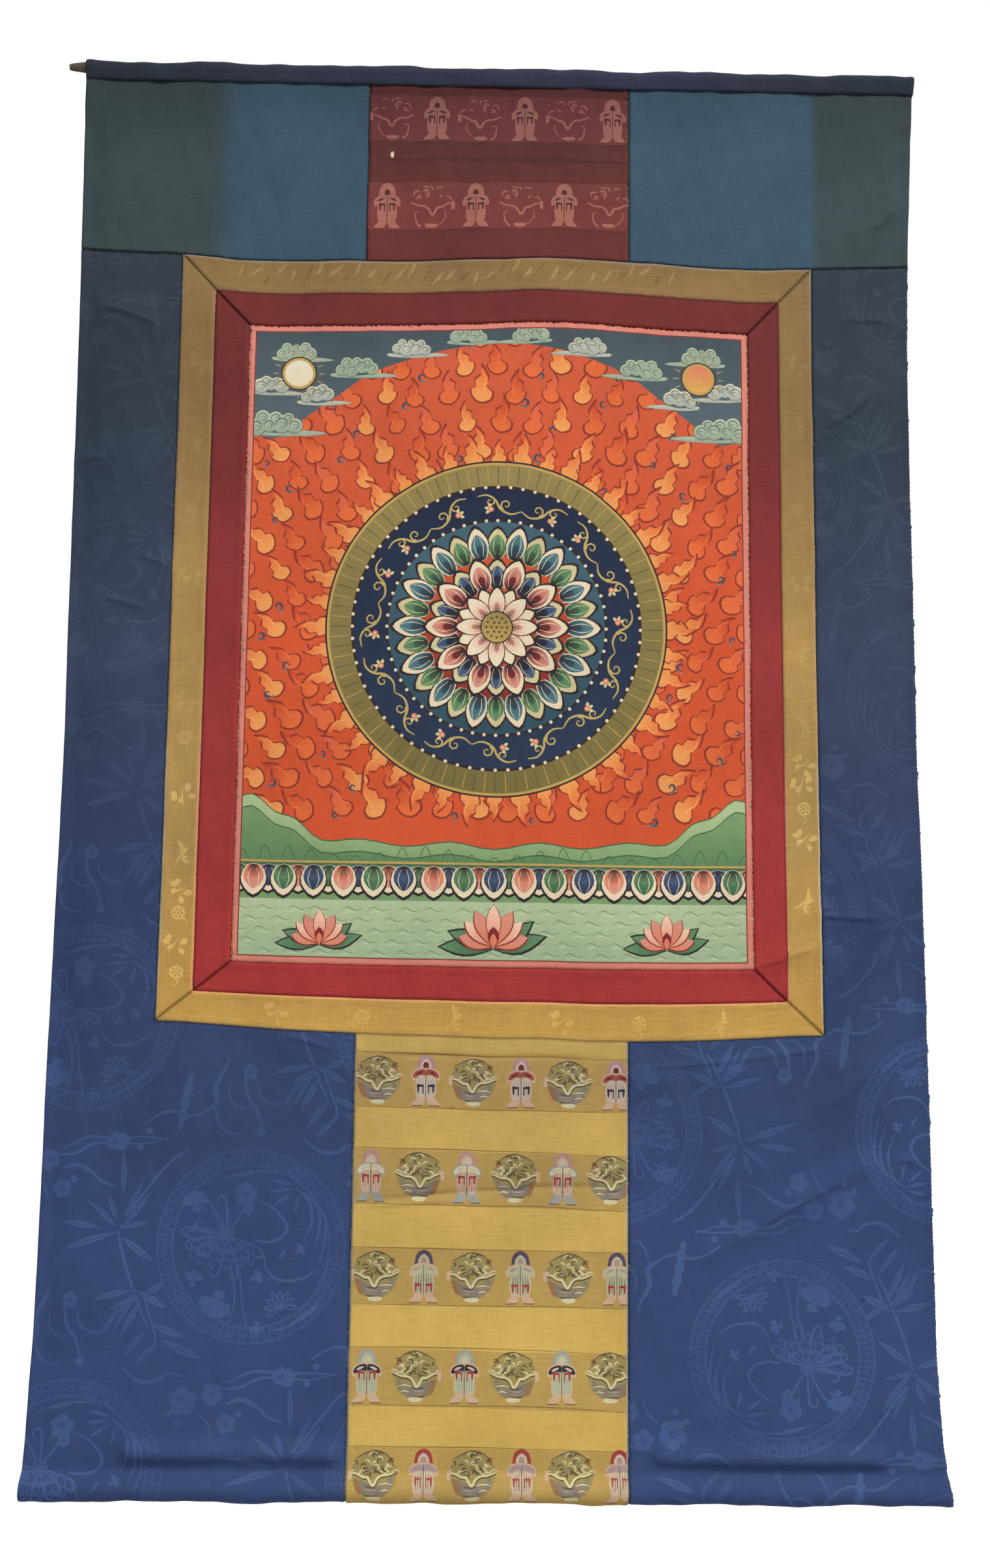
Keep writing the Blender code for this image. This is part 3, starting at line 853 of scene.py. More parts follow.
def damask_round(drawing, across, level, turn):
    """One repeat: a round, and the boughs that go with it."""
    pen = Pen(drawing, across, level, turn)
    chain_ring(pen, ROUND_RADIUS, 19.0, 44)
    chrysanthemum(pen)
    for foot_x, foot_y, tip_x, tip_y, width in BAMBOO_LEAVES:
        length = math.hypot(tip_x - foot_x, tip_y - foot_y)
        turn = math.degrees(math.atan2(tip_y - foot_y, tip_x - foot_x))
        pen.leaf(foot_x, foot_y, length, width, turn, FIGURE, bend=length * 0.06)
        pen.pen(foot_x, foot_y, turn).stroke(((length * 0.1, 0), (length * 0.5, length * 0.015), (length * 0.85, length * 0.04)), [0.5, 1.0, 0.4], "blue", 2)
    for width, line in BAMBOO_STEMS:
        knuckled_stem(pen, width, line, FIGURE)
    for width, line in PLUM_TWIGS:
        pen.stroke(line, [width * 0.6, width, width * 0.7, width * 0.4], FIGURE, 4)
    for x, y, radius, blossom_turn in PLUM_BLOSSOMS:
        blossom(pen, x, y, radius, blossom_turn, FIGURE, "blue")


def damask(region, first, turn):
    """The damask of a piece, as a half-drop repeat laid from its first round."""
    drawing = Drawing()
    low, high = region.min(axis=0), region.max(axis=0)
    reach = 0.24
    for column in range(-4, 5):
        for row in range(-8, 9):
            across = first[0] + column * ROUND_PERIOD[0] / 2
            level = first[1] + (row + (column % 2) / 2) * ROUND_PERIOD[1]
            if low[0] - reach < across < high[0] + reach and low[1] - reach < level < high[1] + reach:
                damask_round(drawing, across, level, turn)
    return drawing.clipped(region)


# The two brocades: rows of woven figures and rounds in turn.

MOTIF_STEP = 0.053
FIGURE_INKS = (
    # arch, heart, shoulder, body, bar, leg
    ("w_rose", "w_wine", "w_brick", "w_pearl", "w_ink", "w_blush"),
    ("w_rose", "w_pearl", "w_cream", "w_blush", "w_red", "w_grey"),
    ("w_plum", "w_rose", "w_celadon", "w_celadon", "w_red", "w_blush"),
    ("w_grey", "w_pearl", "w_ink", "w_celadon", "w_red", "w_blush"),
    ("w_red", "w_rose", "w_lilac", "w_pearl", "w_brick", "w_blush"),
)
PANEL_INKS = ("p_rose", "p_dark", "p_rose", "p_rose", "p_dark", "p_rose")


def woven_figure(pen, inks, bars_at):
    """A small standing form 32 mm wide and 57 mm high: an arch, shoulders, a body with bars, and feet."""
    arch, heart, shoulder, body, bar, leg = inks
    pen.patch(((-8.5, 11), (-9.5, 18), (-7, 25), (0, 28.5), (7, 25), (9.5, 18), (8.5, 11)), arch)
    pen.patch(((-5, 12), (-5.5, 19), (0, 24), (5.5, 19), (5, 12)), body)
    pen.patch(((-3, 14), (-2.6, 19), (0, 20.5), (2.6, 19), (3, 14), (0, 12.5)), heart)
    outline = ((0, 14), (8, 13.5), (14, 10), (16, 4), (14.5, -1), (11, 1), (12, -8), (11, -17))
    outline += ((10, -20), (15.5, -26.5), (12, -28.5), (3, -26.5), (0, -19))
    pen.patch(outline + tuple((-x, y) for x, y in outline[-2:0:-1]), leg, steps=2)
    for side in (False, True):
        half = pen.pen(0, 0, mirror=side)
        half.patch(((1, 12), (7, 12), (13, 8.5), (14.5, 3.5), (11, 3), (6, 6), (1, 5)), shoulder, steps=3)
        half.patch(((3, 10), (8, 9.5), (11.5, 6.5), (9, 6), (5, 8)), heart, steps=2)
        half.patch(((1.2, 4), (6, 4.5), (10.5, 0), (10.8, -8), (9.4, -17), (1.6, -18)), body, steps=3)
        for step in range(3):
            x = 2.6 + step * 2.7
            half.stroke(((x, 3 - step), (x + 0.3, -6), (x - 0.2, -16)), [0.5, 0.9, 0.5], arch, 2)
        half.fill(((2.4, bars_at), (10, bars_at + 0.8), (9.8, bars_at - 2.4), (2.4, bars_at - 2.2)), bar)
        half.fill(((7.2, bars_at), (9.9, bars_at), (9.2, bars_at - 9), (7.4, bars_at - 8)), bar)
        half.fill(((2.2, bars_at), (3.8, bars_at), (3.6, bars_at - 10), (2.4, bars_at - 10)), bar)
        half.patch(((2, -19), (8, -19), (12, -24), (14.5, -27), (9, -27.6), (4, -24)), leg, steps=2)
        half.fill(((4, -27.6), (15.5, -27.9), (15, -29.2), (4, -28.8)), "w_shade" if bar != "p_dark" else "p_dark")
    pen.stroke(((0, 12), (0, -4), (0, -20)), [0.8, 1.0, 0.8], bar if bar == "p_dark" else "w_shade", 3)


ROUND_SPECKS = 46


def woven_round(pen, palette, lines_only=False):
    """A round 53 mm wide: a speckled crown, a pale winged band that dips to a point, and a bowl below."""
    olive, dark, cream, grey, brown = palette
    chance = np.random.default_rng(7)
    if not lines_only:
        pen.disc(0, 1, 25, olive, sides=20)
    spots = chance.uniform(-1, 1, (ROUND_SPECKS, 2)) * (24, 13) + (0, 12)
    inks = (dark, cream, grey, dark, cream, dark)
    for index, (x, y) in enumerate(spots):
        if math.hypot(x, y) > 24.5 or (lines_only and (index % 2 or y < 6)):
            continue
        turn = chance.uniform(-60, 60)
        size = chance.uniform(2.6, 5.4)
        name = cream if lines_only else inks[index % 6]
        hand = 1 if index % 2 else -1
        speck = pen.pen(x, y, turn, hand < 0)
        speck.stroke(((-size, 0), (-size * 0.2, size * 0.45), (size * 0.5, 0), (size * 0.7, -size * 0.4)), [0.6, 1.9, 0.7], name, 2)
    if not lines_only:
        pen.patch(((-20, -4), (-8, -9), (0, -12), (9, -8), (20, -3), (18, -14), (9, -22), (-8, -23), (-17, -15)), grey, steps=3)
        pen.patch(((-22, -4), (-16, -7), (-13, -20), (-19, -17)), brown, steps=3)
        for step in range(5):
            y = -8 - step * 3.0
            pen.stroke(((4 + step, y), (12, y + 1.6), (21 - step * 1.6, y + 0.4)), [0.8, 1.7, 0.6], (olive, cream)[step % 2], 2)
        for step in range(4):
            y = -12 - step * 3.0
            pen.stroke(((-10, y), (-4, y - 1.2), (3, y - 0.4)), [0.8, 1.6, 0.6], (dark, "w_lilac", olive, dark)[step], 2)
    wing = ((-25, 3), (-19, 2), (-12, -2), (-7, -3), (-3, -10), (0, -11), (3, -5), (8, -1), (16, 0), (25, 4))
    if not lines_only:
        pen.stroke([(x + 0.4, y - 1.8) for x, y in wing], [1.4, 2.6, 3.0, 2.4, 1.4], dark, 3)
    pen.stroke(wing, [1.6, 2.6, 2.8, 2.4, 1.6], cream, 3)
    pen.patch(((-7, -23), (6, -22.5), (7, -26), (0, -27.5), (-7, -26)), cream, steps=3)
    pen.fill(((-28, -4), (-24, -5), (-23.5, 5), (-27.5, 6)), cream if lines_only else "w_blush")
    if not lines_only:
        pen.stroke(((15, 14), (19, 15), (20, 10)), [1.0, 1.8, 0.8], "w_brick", 2)
        pen.stroke(((-21, 17), (-12, 22), (0, 26), (12, 23), (21, 15)), [0.8, 1.5, 0.8], dark, 2)
    else:
        pen.stroke(((14, -8), (19, -10), (17, -22), (12, -26)), [0.8, 1.6, 2.6], cream, 2)
        pen.stroke(((-16, -6), (-17, -15), (-9, -24)), [0.8, 1.4, 0.8], cream, 2)


COLUMN_ROWS = (
    # level, first motif's place, first is a round
    (-1.2070, -0.1270, True),
    (-1.3130, -0.1330, False),
    (-1.4210, -0.1260, True),
    (-1.5270, -0.1330, False),
    (-1.6310, -0.1230, True),
)
PANEL_ROWS = (
    (-0.0650, -0.1320, True),
    (-0.1760, -0.1370, False),
)
WOVEN_ROUND = ("w_olive", "w_dark", "w_cream", "w_dusk", "w_brown")
PANEL_ROUND = ("p_rose", "p_dark", "p_rose", "p_rose", "p_rose")


def brocade_row(drawing, level, first, starts_round, draw_round, draw_figure):
    for index in range(6):
        pen = Pen(drawing, first + index * MOTIF_STEP, level, mirror=not starts_round)
        if (index % 2 == 0) == starts_round:
            draw_round(pen)
        else:
            draw_figure(pen)


def column_drawing(region):
    """The gold brocade: a duller band of carried threads behind each row of motifs."""
    drawing = Drawing()
    left, right = COLUMN_SIDES
    for row, (level, first, starts_round) in enumerate(COLUMN_ROWS):
        top, foot = level + 0.0300, level - 0.0305
        drift = -0.0035 * (row % 2) - 0.001 * row
        band = ((left, top), (right, top + drift), (right, foot + drift), (left, foot))
        drawing.add(band, "brocade_band")
        pen = Pen(drawing, 0.0, level)
        pen.stroke(((-152, 30.5), (-60, 30.0), (20, 29.0), (151, 30.0 + drift * 1000)), [0.6, 1.3, 0.8, 0.5], "brocade_line")
        pen.stroke(((-152, -30.5), (-40, -31.0), (60, -31.5), (151, -30.5 + drift * 1000)), [0.4, 1.0, 1.2, 0.6], "brocade_line")
        bars_at = (-5.0, 1.0, -8.0, 5.0, -3.0)[row]
        brocade_row(
            drawing, level, first, starts_round,
            lambda pen: woven_round(pen, WOVEN_ROUND),
            lambda pen: woven_figure(pen, FIGURE_INKS[row], bars_at),
        )
    foot = SLEEVE_SEAM - ROLL.length
    edging(drawing, (right, GOLD_FOOT), (right, foot), 0.0020, "edge_grey")
    edging(drawing, (left, foot), (left, GOLD_FOOT), 0.0020, "edge_grey")
    return drawing.clipped(region)


def panel_drawing(region):
    drawing = Drawing()
    left, right = TOP_PANEL_SIDES
    for level, first, starts_round in PANEL_ROWS:
        drawing.add(rectangle(left, right, level + 0.029, level - 0.031), "maroon_band")
        pen = Pen(drawing, 0.0, level)
        pen.stroke(((-156, -30), (-60, -30.6), (40, -30.0), (150, -32.5)), [0.6, 1.4, 0.9, 1.3], "p_dark")
        brocade_row(
            drawing, level, first, starts_round,
            lambda pen: woven_round(pen, PANEL_ROUND, True),
            lambda pen: woven_figure(pen, PANEL_INKS, 3.0),
        )
    stripe = Pen(drawing, 0.0, -0.119)
    stripe.stroke(((-150, 0), (-50, 1.5), (60, 2.0), (150, -1.0)), [1.5, 5.5, 8.0, 2.0], "p_dark")
    Pen(drawing, -0.132, -0.112).disc(0, 0, 2.2, "w_cream", squash=1.8, sides=9)
    return drawing.clipped(region)


# The frames' strips.

GOLD_SPRIGS = (
    # strip, place along it in millimetres from its first corner, across it in millimetres, kind, turn
    (3, 60, 21, "bloom", 0),
    (3, 92, 17, "pair", 20),
    (3, 128, 21, "bloom", 40),
    (3, 154, 20, "pair", -10),
    (3, 196, 20, "spray", 30),
    (3, 262, 20, "pair", 60),
    (3, 330, 21, "bloom", 10),
    (3, 372, 19, "pair", 0),
    (3, 420, 20, "spray", -30),
    (3, 520, 20, "pair", 20),
    (3, 600, 20, "bloom", 0),
    (3, 680, 20, "spray", 15),
    (3, 780, 20, "pair", 0),
    (1, 120, 20, "pair", 0),
    (1, 200, 20, "spray", 20),
    (1, 300, 20, "bloom", 0),
    (1, 390, 20, "pair", 30),
    (1, 470, 20, "spray", 0),
    (1, 560, 19, "spray", 50),
    (1, 604, 20, "pair", 0),
    (1, 628, 22, "pair", 40),
    (1, 655, 18, "bloom", 0),
    (1, 690, 20, "pair", 10),
    (1, 760, 20, "spray", 0),
    (2, 120, 19, "spray", 0),
    (2, 210, 18, "bloom", 0),
    (2, 300, 18, "pair", 0),
    (2, 420, 19, "spray", 20),
    (2, 520, 18, "bloom", 0),
    (2, 620, 18, "pair", 0),
)


def gold_sprig(pen, kind):
    """A woven sprig, a few centimetres high, in the cloth's own colour."""
    if kind == "bloom":
        pen.disc(0, 0, 8.0, "gold_figure_and_sheen", sides=12)
        for step in range(6):
            angle = math.radians(step * 60 + 15)
            pen.disc(4.6 * math.cos(angle), 4.6 * math.sin(angle), 1.7, "gold_cloth", sides=6)
        pen.disc(0, 0, 1.8, "gold_cloth", sides=6)
        pen.stroke(((0, -8), (2, -13), (-3, -18)), [1.6, 1.2, 0.5], "gold_figure_and_sheen", 3)
    elif kind == "pair":
        for x, y, size, turn in ((-6, 3, 11, 60), (-4, 2, 9, 130), (6, -3, 12, 20), (4, -5, 10, -70), (0, 0, 9, 200)):
            pen.leaf(x, y, size, size * 0.62, turn, "gold_figure_and_sheen", blunt=0.8)
        pen.stroke(((-9, -8), (0, -1), (10, 5)), [0.8, 1.8, 0.6], "gold_figure_and_sheen", 3)
    else:
        for step in range(7):
            turn = -60 + step * 22
            pen.leaf(-2 + step, -6 + 1.5 * step, 12 - step % 3 * 3, 3.6, turn, "gold_figure_and_sheen", bend=2)
        pen.stroke(((-12, -9), (-4, -5), (5, 3), (10, 11)), [0.8, 2.0, 1.2, 0.5], "gold_figure_and_sheen", 3)


def gold_drawing(region, index, strip):
    """One strip of the gold frame: sprigs, slanting streaks of painted sheen and painted shade for wrinkled satin in
    the top strip, and its piped edges.
    """
    drawing = Drawing()
    start, end = np.array(strip[0]), np.array(strip[1])
    way = (end - start) / math.dist(start, end)
    inward = np.array((way[1], -way[0]))
    for strip_index, along, across, kind, turn in GOLD_SPRIGS:
        if strip_index == index:
            place = start + way * along * MM + inward * across * MM
            gold_sprig(Pen(drawing, *place, turn=turn), kind)
    # Painted sheen and painted shade: slanting streaks that stand for the top strip's satin wrinkles.
    if index == 0:
        chance = np.random.default_rng(12)
        for step in range(34):
            place = start + way * (0.070 + step * 0.0155) + inward * chance.uniform(0.010, 0.026)
            pen = Pen(drawing, *place, turn=chance.uniform(24, 62))
            name = ("gold_figure_and_sheen", "gold_figure_and_sheen", "gold_shade")[step % 3]
            pen.leaf(-9, 0, chance.uniform(16, 30), chance.uniform(2.5, 5.5), 0, name, bend=3)
    edging(drawing, strip[0], strip[1], 0.0022, "edge_pale")
    edging(drawing, strip[2], strip[3], 0.0022, "edge_salmon")
    return drawing.clipped(region)


def red_drawing(region, index, strip):
    drawing = Drawing()
    edging(drawing, strip[2], strip[3], 0.0012, "crimson_foot")
    return drawing.clipped(region)


# The painted cotton: a generic lotus wheel on a ground of flames, between clouds and a lotus pond.

PAINTING_HALF = (296.0, 379.0)
WHEEL_Y = 10.0


def lotus_petal(pen, length, width, turn, reach, inks):
    """A petal of a wheel or border, with its rim, body and heart inside a dark line."""
    line, rim, body, deep = inks
    petal = pen.pen(reach * math.cos(math.radians(turn)), reach * math.sin(math.radians(turn)), turn - 90)
    for share, name, second in ((1.0, line, None), (0.90, rim, None), (0.72, body, deep), (0.42, deep, line)):
        w, h = width * share / 2, length * share
        knots = ((-w * 0.55, 0), (-w, h * 0.42), (-w * 0.72, h * 0.76), (0, h), (w * 0.72, h * 0.76), (w, h * 0.42), (w * 0.55, 0))
        petal.patch(knots, name, second, (0, h), (0, 0), steps=2)
    for side in (-1, 1):
        petal.stroke(((side * width * 0.10, length * 0.08), (side * width * 0.2, length * 0.4), (side * width * 0.08, length * 0.66)), [0.4, 0.9, 0.3], rim, 2)


def flame(pen, x, y, size, turn, inks, hand=1):
    """A licking tongue with a dark line and a bright lip."""
    line, body, lip = inks
    tongue = pen.pen(x, y, turn, hand < 0, size / 30)
    shape = ((-8, 0), (-9, 7), (-3, 13), (-5, 20), (2, 31), (2, 22), (7, 18), (6, 11), (10, 9), (8, 2), (1, -3))
    tongue.patch(shape, line, steps=2)
    tongue.patch([(px * 0.84 + 0.2, py * 0.86 + 1.2) for px, py in shape], body, lip, (0, 24), (0, 2), steps=2)
    tongue.stroke(((-4, 3), (-1, 9), (-3, 15), (0, 22)), [0.8, 2.2, 1.2, 0.4], lip, 2)


def smoke_curl(pen, x, y, size, turn, inks, hand=1):
    dark, pale = inks
    curl = pen.pen(x, y, turn, hand < 0, size / 10)
    curl.stroke(((-6, -4), (0, -5), (5, -1), (4, 5), (-1, 5), (-2, 1)), [0.6, 3.2, 3.4, 2.4, 1.0], dark, 3)
    curl.stroke(((-5, -4.6), (0, -5.6), (5, -2)), [0.3, 0.9, 0.3], pale, 3)


def cloud(pen, x, y, size, lobes, inks, hand=1):
    """A bank of round lobes over a flat tail, each lobe with its swirl."""
    line, pale, shade = inks
    bank = pen.pen(x, y, 0, hand < 0, size / 30)
    chance = np.random.default_rng(int(abs(x) * 7 + abs(y) * 3 + size))
    lobe_spots = []
    for index in range(lobes):
        along = (index - (lobes - 1) / 2) * 15
        lobe_spots.append((along, chance.uniform(-2, 6), chance.uniform(8.5, 12.0)))
        if index:
            lobe_spots.append((along - 7.5, chance.uniform(9, 13), chance.uniform(6.5, 9.0)))
    wide = lobes * 9
    tail = ((-wide, -4), (0, -9), (wide, -5), (wide + 26, -9), (wide + 10, -12), (0, -13), (-wide, -10))
    bank.patch(tail, line, steps=3)
    bank.patch([(px * 0.97, py * 0.9 - 0.9) for px, py in tail], pale, shade, (0, 0), (0, -14), steps=3)
    for cx, cy, radius in lobe_spots:
        bank.disc(cx, cy, radius + 0.9, line, sides=14)
    for cx, cy, radius in lobe_spots:
        bank.disc(cx, cy, radius, shade, pale, sides=14)
    for cx, cy, radius in lobe_spots:
        bank.arc(cx, cy, radius * 0.62, 200, -20, [0.5, 1.4, 1.6, 0.6], line, 8)
        bank.arc(cx + radius * 0.1, cy - radius * 0.1, radius * 0.3, 160, -140, [0.5, 1.2, 0.5], line, 7)


def painting_ground(pen):
    half_across, half_up = PAINTING_HALF
    pen.fill(rectangle(-half_across, half_across, half_up, -half_up), "vermilion_old", "vermilion", (0, half_up), (0, 0))
    chance = np.random.default_rng(21)
    step_across, step_up = 38.0, 35.0
    inks = (("flame_line", "flame_red", "flame_orange"), ("flame_line", "flame_orange", "flame_gold"),
            ("flame_line", "flame_rose", "flame_orange"))
    for row in range(18, -7, -1):
        for column in range(-9, 10):
            x = (column + (row % 2) / 2) * step_across
            y = (row - 7) * step_up
            out = math.hypot(x, y - WHEEL_Y)
            if out < 176 or abs(x) > 300 or y < -232:
                continue
            turn = -math.degrees(math.atan2(x, max(y - WHEEL_Y, -60) + 250)) + chance.uniform(-16, 16)
            x, y = x + chance.uniform(-3, 3), y + chance.uniform(-3, 3)
            hand = 1 if (row + column) % 2 else -1
            size = chance.uniform(35, 46)
            flame(pen, x, y, size, turn, inks[(row * 3 + column * 5) % 3], hand)
            if (row * 2 + column) % 3 == 0:
                smoke_curl(pen, x + 11 * hand, y - 2, chance.uniform(6, 9), chance.uniform(-40, 40), ("indigo_grey", "mist"), hand)


def lotus_wheel(pen):
    wheel = pen.pen(0, WHEEL_Y)
    for index in range(44):
        turn = index * 360 / 44
        x, y = 194 * math.cos(math.radians(turn)), 194 * math.sin(math.radians(turn))
        flame(wheel, x, y, 40 - 8 * (index % 2), turn - 90, ("flame_line", "flame_orange", "flame_gold"), 1 if index % 2 else -1)
    rings = (
        # outer, inner, ink, second ink
        (198, 193, "line_dark", None),
        (196, 194, "halo_gold", None),
        (193, 168, "olive", "olive_pale"),
        (168, 165, "line_dark", None),
        (165, 128, "indigo", "indigo_deep"),
        (128, 125, "line_dark", None),
        (125, 88, "teal_deep", "teal_paint"),
        (88, 40, "wine_paint", "vermilion"),
    )
    for outer, inner, name, second in rings:
        wheel.disc(0, 0, outer, name, second, sides=96)
    for index in range(96):
        turn = math.radians(index * 360 / 96)
        cos, sin = math.cos(turn), math.sin(turn)
        wheel.stroke(((170 * cos, 170 * sin), (191 * cos, 191 * sin)), [0.6, 1.1], "halo_gold" if index % 2 else "olive_dark", 1)
    for index in range(72):
        turn = math.radians(index * 5)
        wheel.disc(166.6 * math.cos(turn), 166.6 * math.sin(turn), 2.6, "bone_line", sides=9)
        wheel.disc(166.6 * math.cos(turn), 166.6 * math.sin(turn), 2.0, "bone", sides=8)
    for index in range(16):
        turn = index * 22.5
        part = wheel.pen(146 * math.cos(math.radians(turn)), 146 * math.sin(math.radians(turn)), turn - 90)
        hand = 1 if index % 2 else -1
        scroll = part.pen(0, 0, 0, hand < 0)
        scroll.stroke(((-27, -9), (-15, -12), (-3, -6), (3, 5), (13, 11), (24, 9)), [1.2, 2.4, 2.6, 2.2, 1.2], "scroll_gold", 3)
        scroll.curl(-6, -7, 7, 30, [2.2, 1.8, 0.8], "scroll_gold", 1.1, 1, 9)
        scroll.curl(7, 9, 6, 200, [2.2, 1.8, 0.8], "scroll_gold", 1.1, 1, 9)
        for turn_leaf in (20, 75, 130):
            scroll.leaf(8, -6, 8, 3.6, turn_leaf - 60, "scroll_pale", blunt=1)
        scroll.disc(8, -6, 3.4, "coral", sides=8)
        scroll.disc(8, -6, 1.4, "bone", sides=6)
    for index in range(60):
        turn = math.radians(index * 6)
        wheel.disc(126.5 * math.cos(turn), 126.5 * math.sin(turn), 2.0, "bone", sides=8)
    petals_out = (("line_dark", "bone", "petal_teal", "petal_teal_deep"), ("line_dark", "petal_rim", "petal_green", "petal_green_deep"))
    petals_mid = (("line_dark", "bone", "petal_rose", "wine_paint"), ("line_dark", "petal_rim", "petal_blue", "indigo_deep"))
    petals_in = (("line_dark", "bone", "petal_white", "petal_rose"), ("line_dark", "bone", "petal_white", "petal_rose"))
    for offset in (0.5, 0.0):
        for index in range(14):
            lotus_petal(wheel, 42 - 3 * (offset > 0), 26, (index + offset) * 360 / 14, 82, petals_out[int(offset * 2)])
    for offset in (0.5, 0.0):
        for index in range(10):
            lotus_petal(wheel, 40 - 3 * (offset > 0), 27, (index + offset) * 36, 46, petals_mid[int(offset * 2)])
    for offset in (0.5, 0.0):
        for index in range(8):
            lotus_petal(wheel, 35, 20, (index + offset) * 45, 15, petals_in[int(offset * 2)])
    wheel.disc(0, 0, 19, "line_dark", sides=24)
    wheel.disc(0, 0, 17.6, "halo_gold", "olive_pale", sides=24)
    for radius, count in ((0, 1), (6, 6), (12, 12)):
        for index in range(count):
            turn = 2 * math.pi * index / count
            wheel.disc(radius * math.cos(turn), radius * math.sin(turn), 1.6, "olive_dark", sides=7)


def cloud_bank(pen):
    """Dark sky and clouds over the flames, deepest in the two corners."""
    lower = [(-300, 250), (-262, 236), (-228, 262), (-190, 290), (-150, 318), (-96, 338), (-40, 350), (0, 354),
             (40, 350), (96, 338), (150, 318), (190, 290), (228, 262), (262, 236), (300, 250)]
    outline = curve(lower, False, 3)
    pen.fill(np.concatenate([outline, [(300, 382), (-300, 382)]]), "sky_dark", "sky_grey", (0, 380), (0, 240))
    pale, cream = ("cloud_line", "cloud_pale", "cloud_green"), ("cloud_line", "cloud_cream", "cloud_grey")
    banks = (
        # x, y, size, lobes, cream
        (-262, 252, 30, 4, False),
        (-214, 288, 24, 3, True),
        (-168, 322, 24, 4, False),
        (-104, 346, 22, 4, True),
        (-36, 360, 20, 4, False),
        (-268, 300, 24, 3, True),
        (-240, 342, 22, 4, False),
    )
    for x, y, size, lobes, is_cream in banks:
        for hand in (1, -1):
            cloud(pen, x * hand, y, size, lobes, cream if is_cream else pale, hand)
    for x, name, second in ((-236, "moon", "bone"), (236, "coral", "sun_gold")):
        disc = pen.pen(x, 318)
        disc.disc(0, 0, 21, "line_dark", sides=28)
        disc.disc(0, 0, 19.5, "halo_gold", sides=28)
        disc.disc(0, 0, 16.5, second, name, sides=28)
        for index in range(16):
            turn = math.radians(index * 22.5)
            disc.stroke(((24 * math.cos(turn), 24 * math.sin(turn)), (31 * math.cos(turn), 31 * math.sin(turn))), [1.6, 0.4], "halo_gold", 1)


def pond(pen):
    """Hills, a border of petals, and water with three flowers."""
    hills = ((-300, -196), (-276, -186), (-250, -206), (-226, -214), (-196, -238), (-150, -236), (-100, -244),
             (-50, -238), (0, -246), (50, -238), (100, -244), (150, -236), (196, -238), (226, -214), (250, -206),
             (276, -186), (300, -196))
    for drop, line, name, second in ((0, "hill_line", "hill_pale", "hill_green"), (-14, "hill_line", "hill_green", "hill_deep")):
        edge = curve([(x, y + drop) for x, y in hills], False, 3)
        pen.fill(np.concatenate([edge, [(300, -380), (-300, -380)]]), line)
        pen.fill(np.concatenate([edge - (0, 1.4), [(300, -380), (-300, -380)]]), name, second, (0, -200), (0, -262))
    for index in range(-11, 12):
        pen.stroke(((index * 26 - 8, -262), (index * 26, -250 - 6 * math.cos(index)), (index * 26 + 9, -262)), [0.5, 1.2, 0.5], "hill_line", 3)
    inks = (
        ("line_dark", "bone", "indigo", "petal_blue"),
        ("line_dark", "bone", "petal_green_deep", "petal_green"),
        ("line_dark", "bone", "petal_rose", "coral"),
    )
    pen.fill(rectangle(-300, 300, -262, -306), "petal_green_deep", "hill_green", (0, -262), (0, -306))
    pen.fill(rectangle(-300, 300, -262, -264.5), "halo_gold")
    for offset in (0.5, 0.0):
        for index in range(-9, 10):
            x = (index + offset) * 34
            lotus_petal(pen.pen(x, -268), 38 - 5 * (offset > 0), 32, 270, 0, inks[(index * 2 + (offset > 0)) % 3])
    pen.fill(rectangle(-300, 300, -306, -384), "water_pale", "water_green", (0, -306), (0, -384))
    chance = np.random.default_rng(4)
    for row in range(6):
        for column in range(-9, 10):
            x = (column + (row % 2) / 2) * 32 + chance.uniform(-4, 4)
            y = -316 - row * 12
            pen.stroke(((x - 14, y - 2), (x - 6, y + 2.4), (x + 3, y - 1.5), (x + 13, y + 1)), [0.3, 1.3, 1.0, 0.3], "water_line", 3)
            pen.stroke(((x - 10, y - 5), (x - 3, y - 2), (x + 6, y - 5)), [0.3, 1.0, 0.3], "water_light", 2)
    for x, size in ((-196, 0.9), (0, 1.12), (196, 0.9)):
        flower = pen.pen(x, -352, scale=size)
        for turn, length in ((8, 56), (172, 56), (28, 50), (152, 50)):
            flower.leaf(0, -6, length, 20, turn, "line_dark", bend=6)
            flower.leaf(1 if turn < 90 else -1, -5.5, length - 4, 16, turn, "petal_green_deep", bend=6, second="petal_green")
        for turn, length, name in ((165, 36, "petal_rose"), (15, 36, "petal_rose"), (140, 38, "petal_pale"), (40, 38, "petal_pale"),
                                   (118, 40, "petal_rose"), (62, 40, "petal_rose"), (90, 42, "petal_pale")):
            flower.leaf(0, -4, length + 1.6, 16.4, turn, "flame_line", blunt=0.4)
            flower.leaf(0, -3, length, 14.4, turn, "coral", blunt=0.4, second=name)
        flower.leaf(0, -5, 22, 12, 90, "wine_paint", blunt=0.4)
        flower.leaf(0, -5, 15, 7, 90, "coral", blunt=0.4)


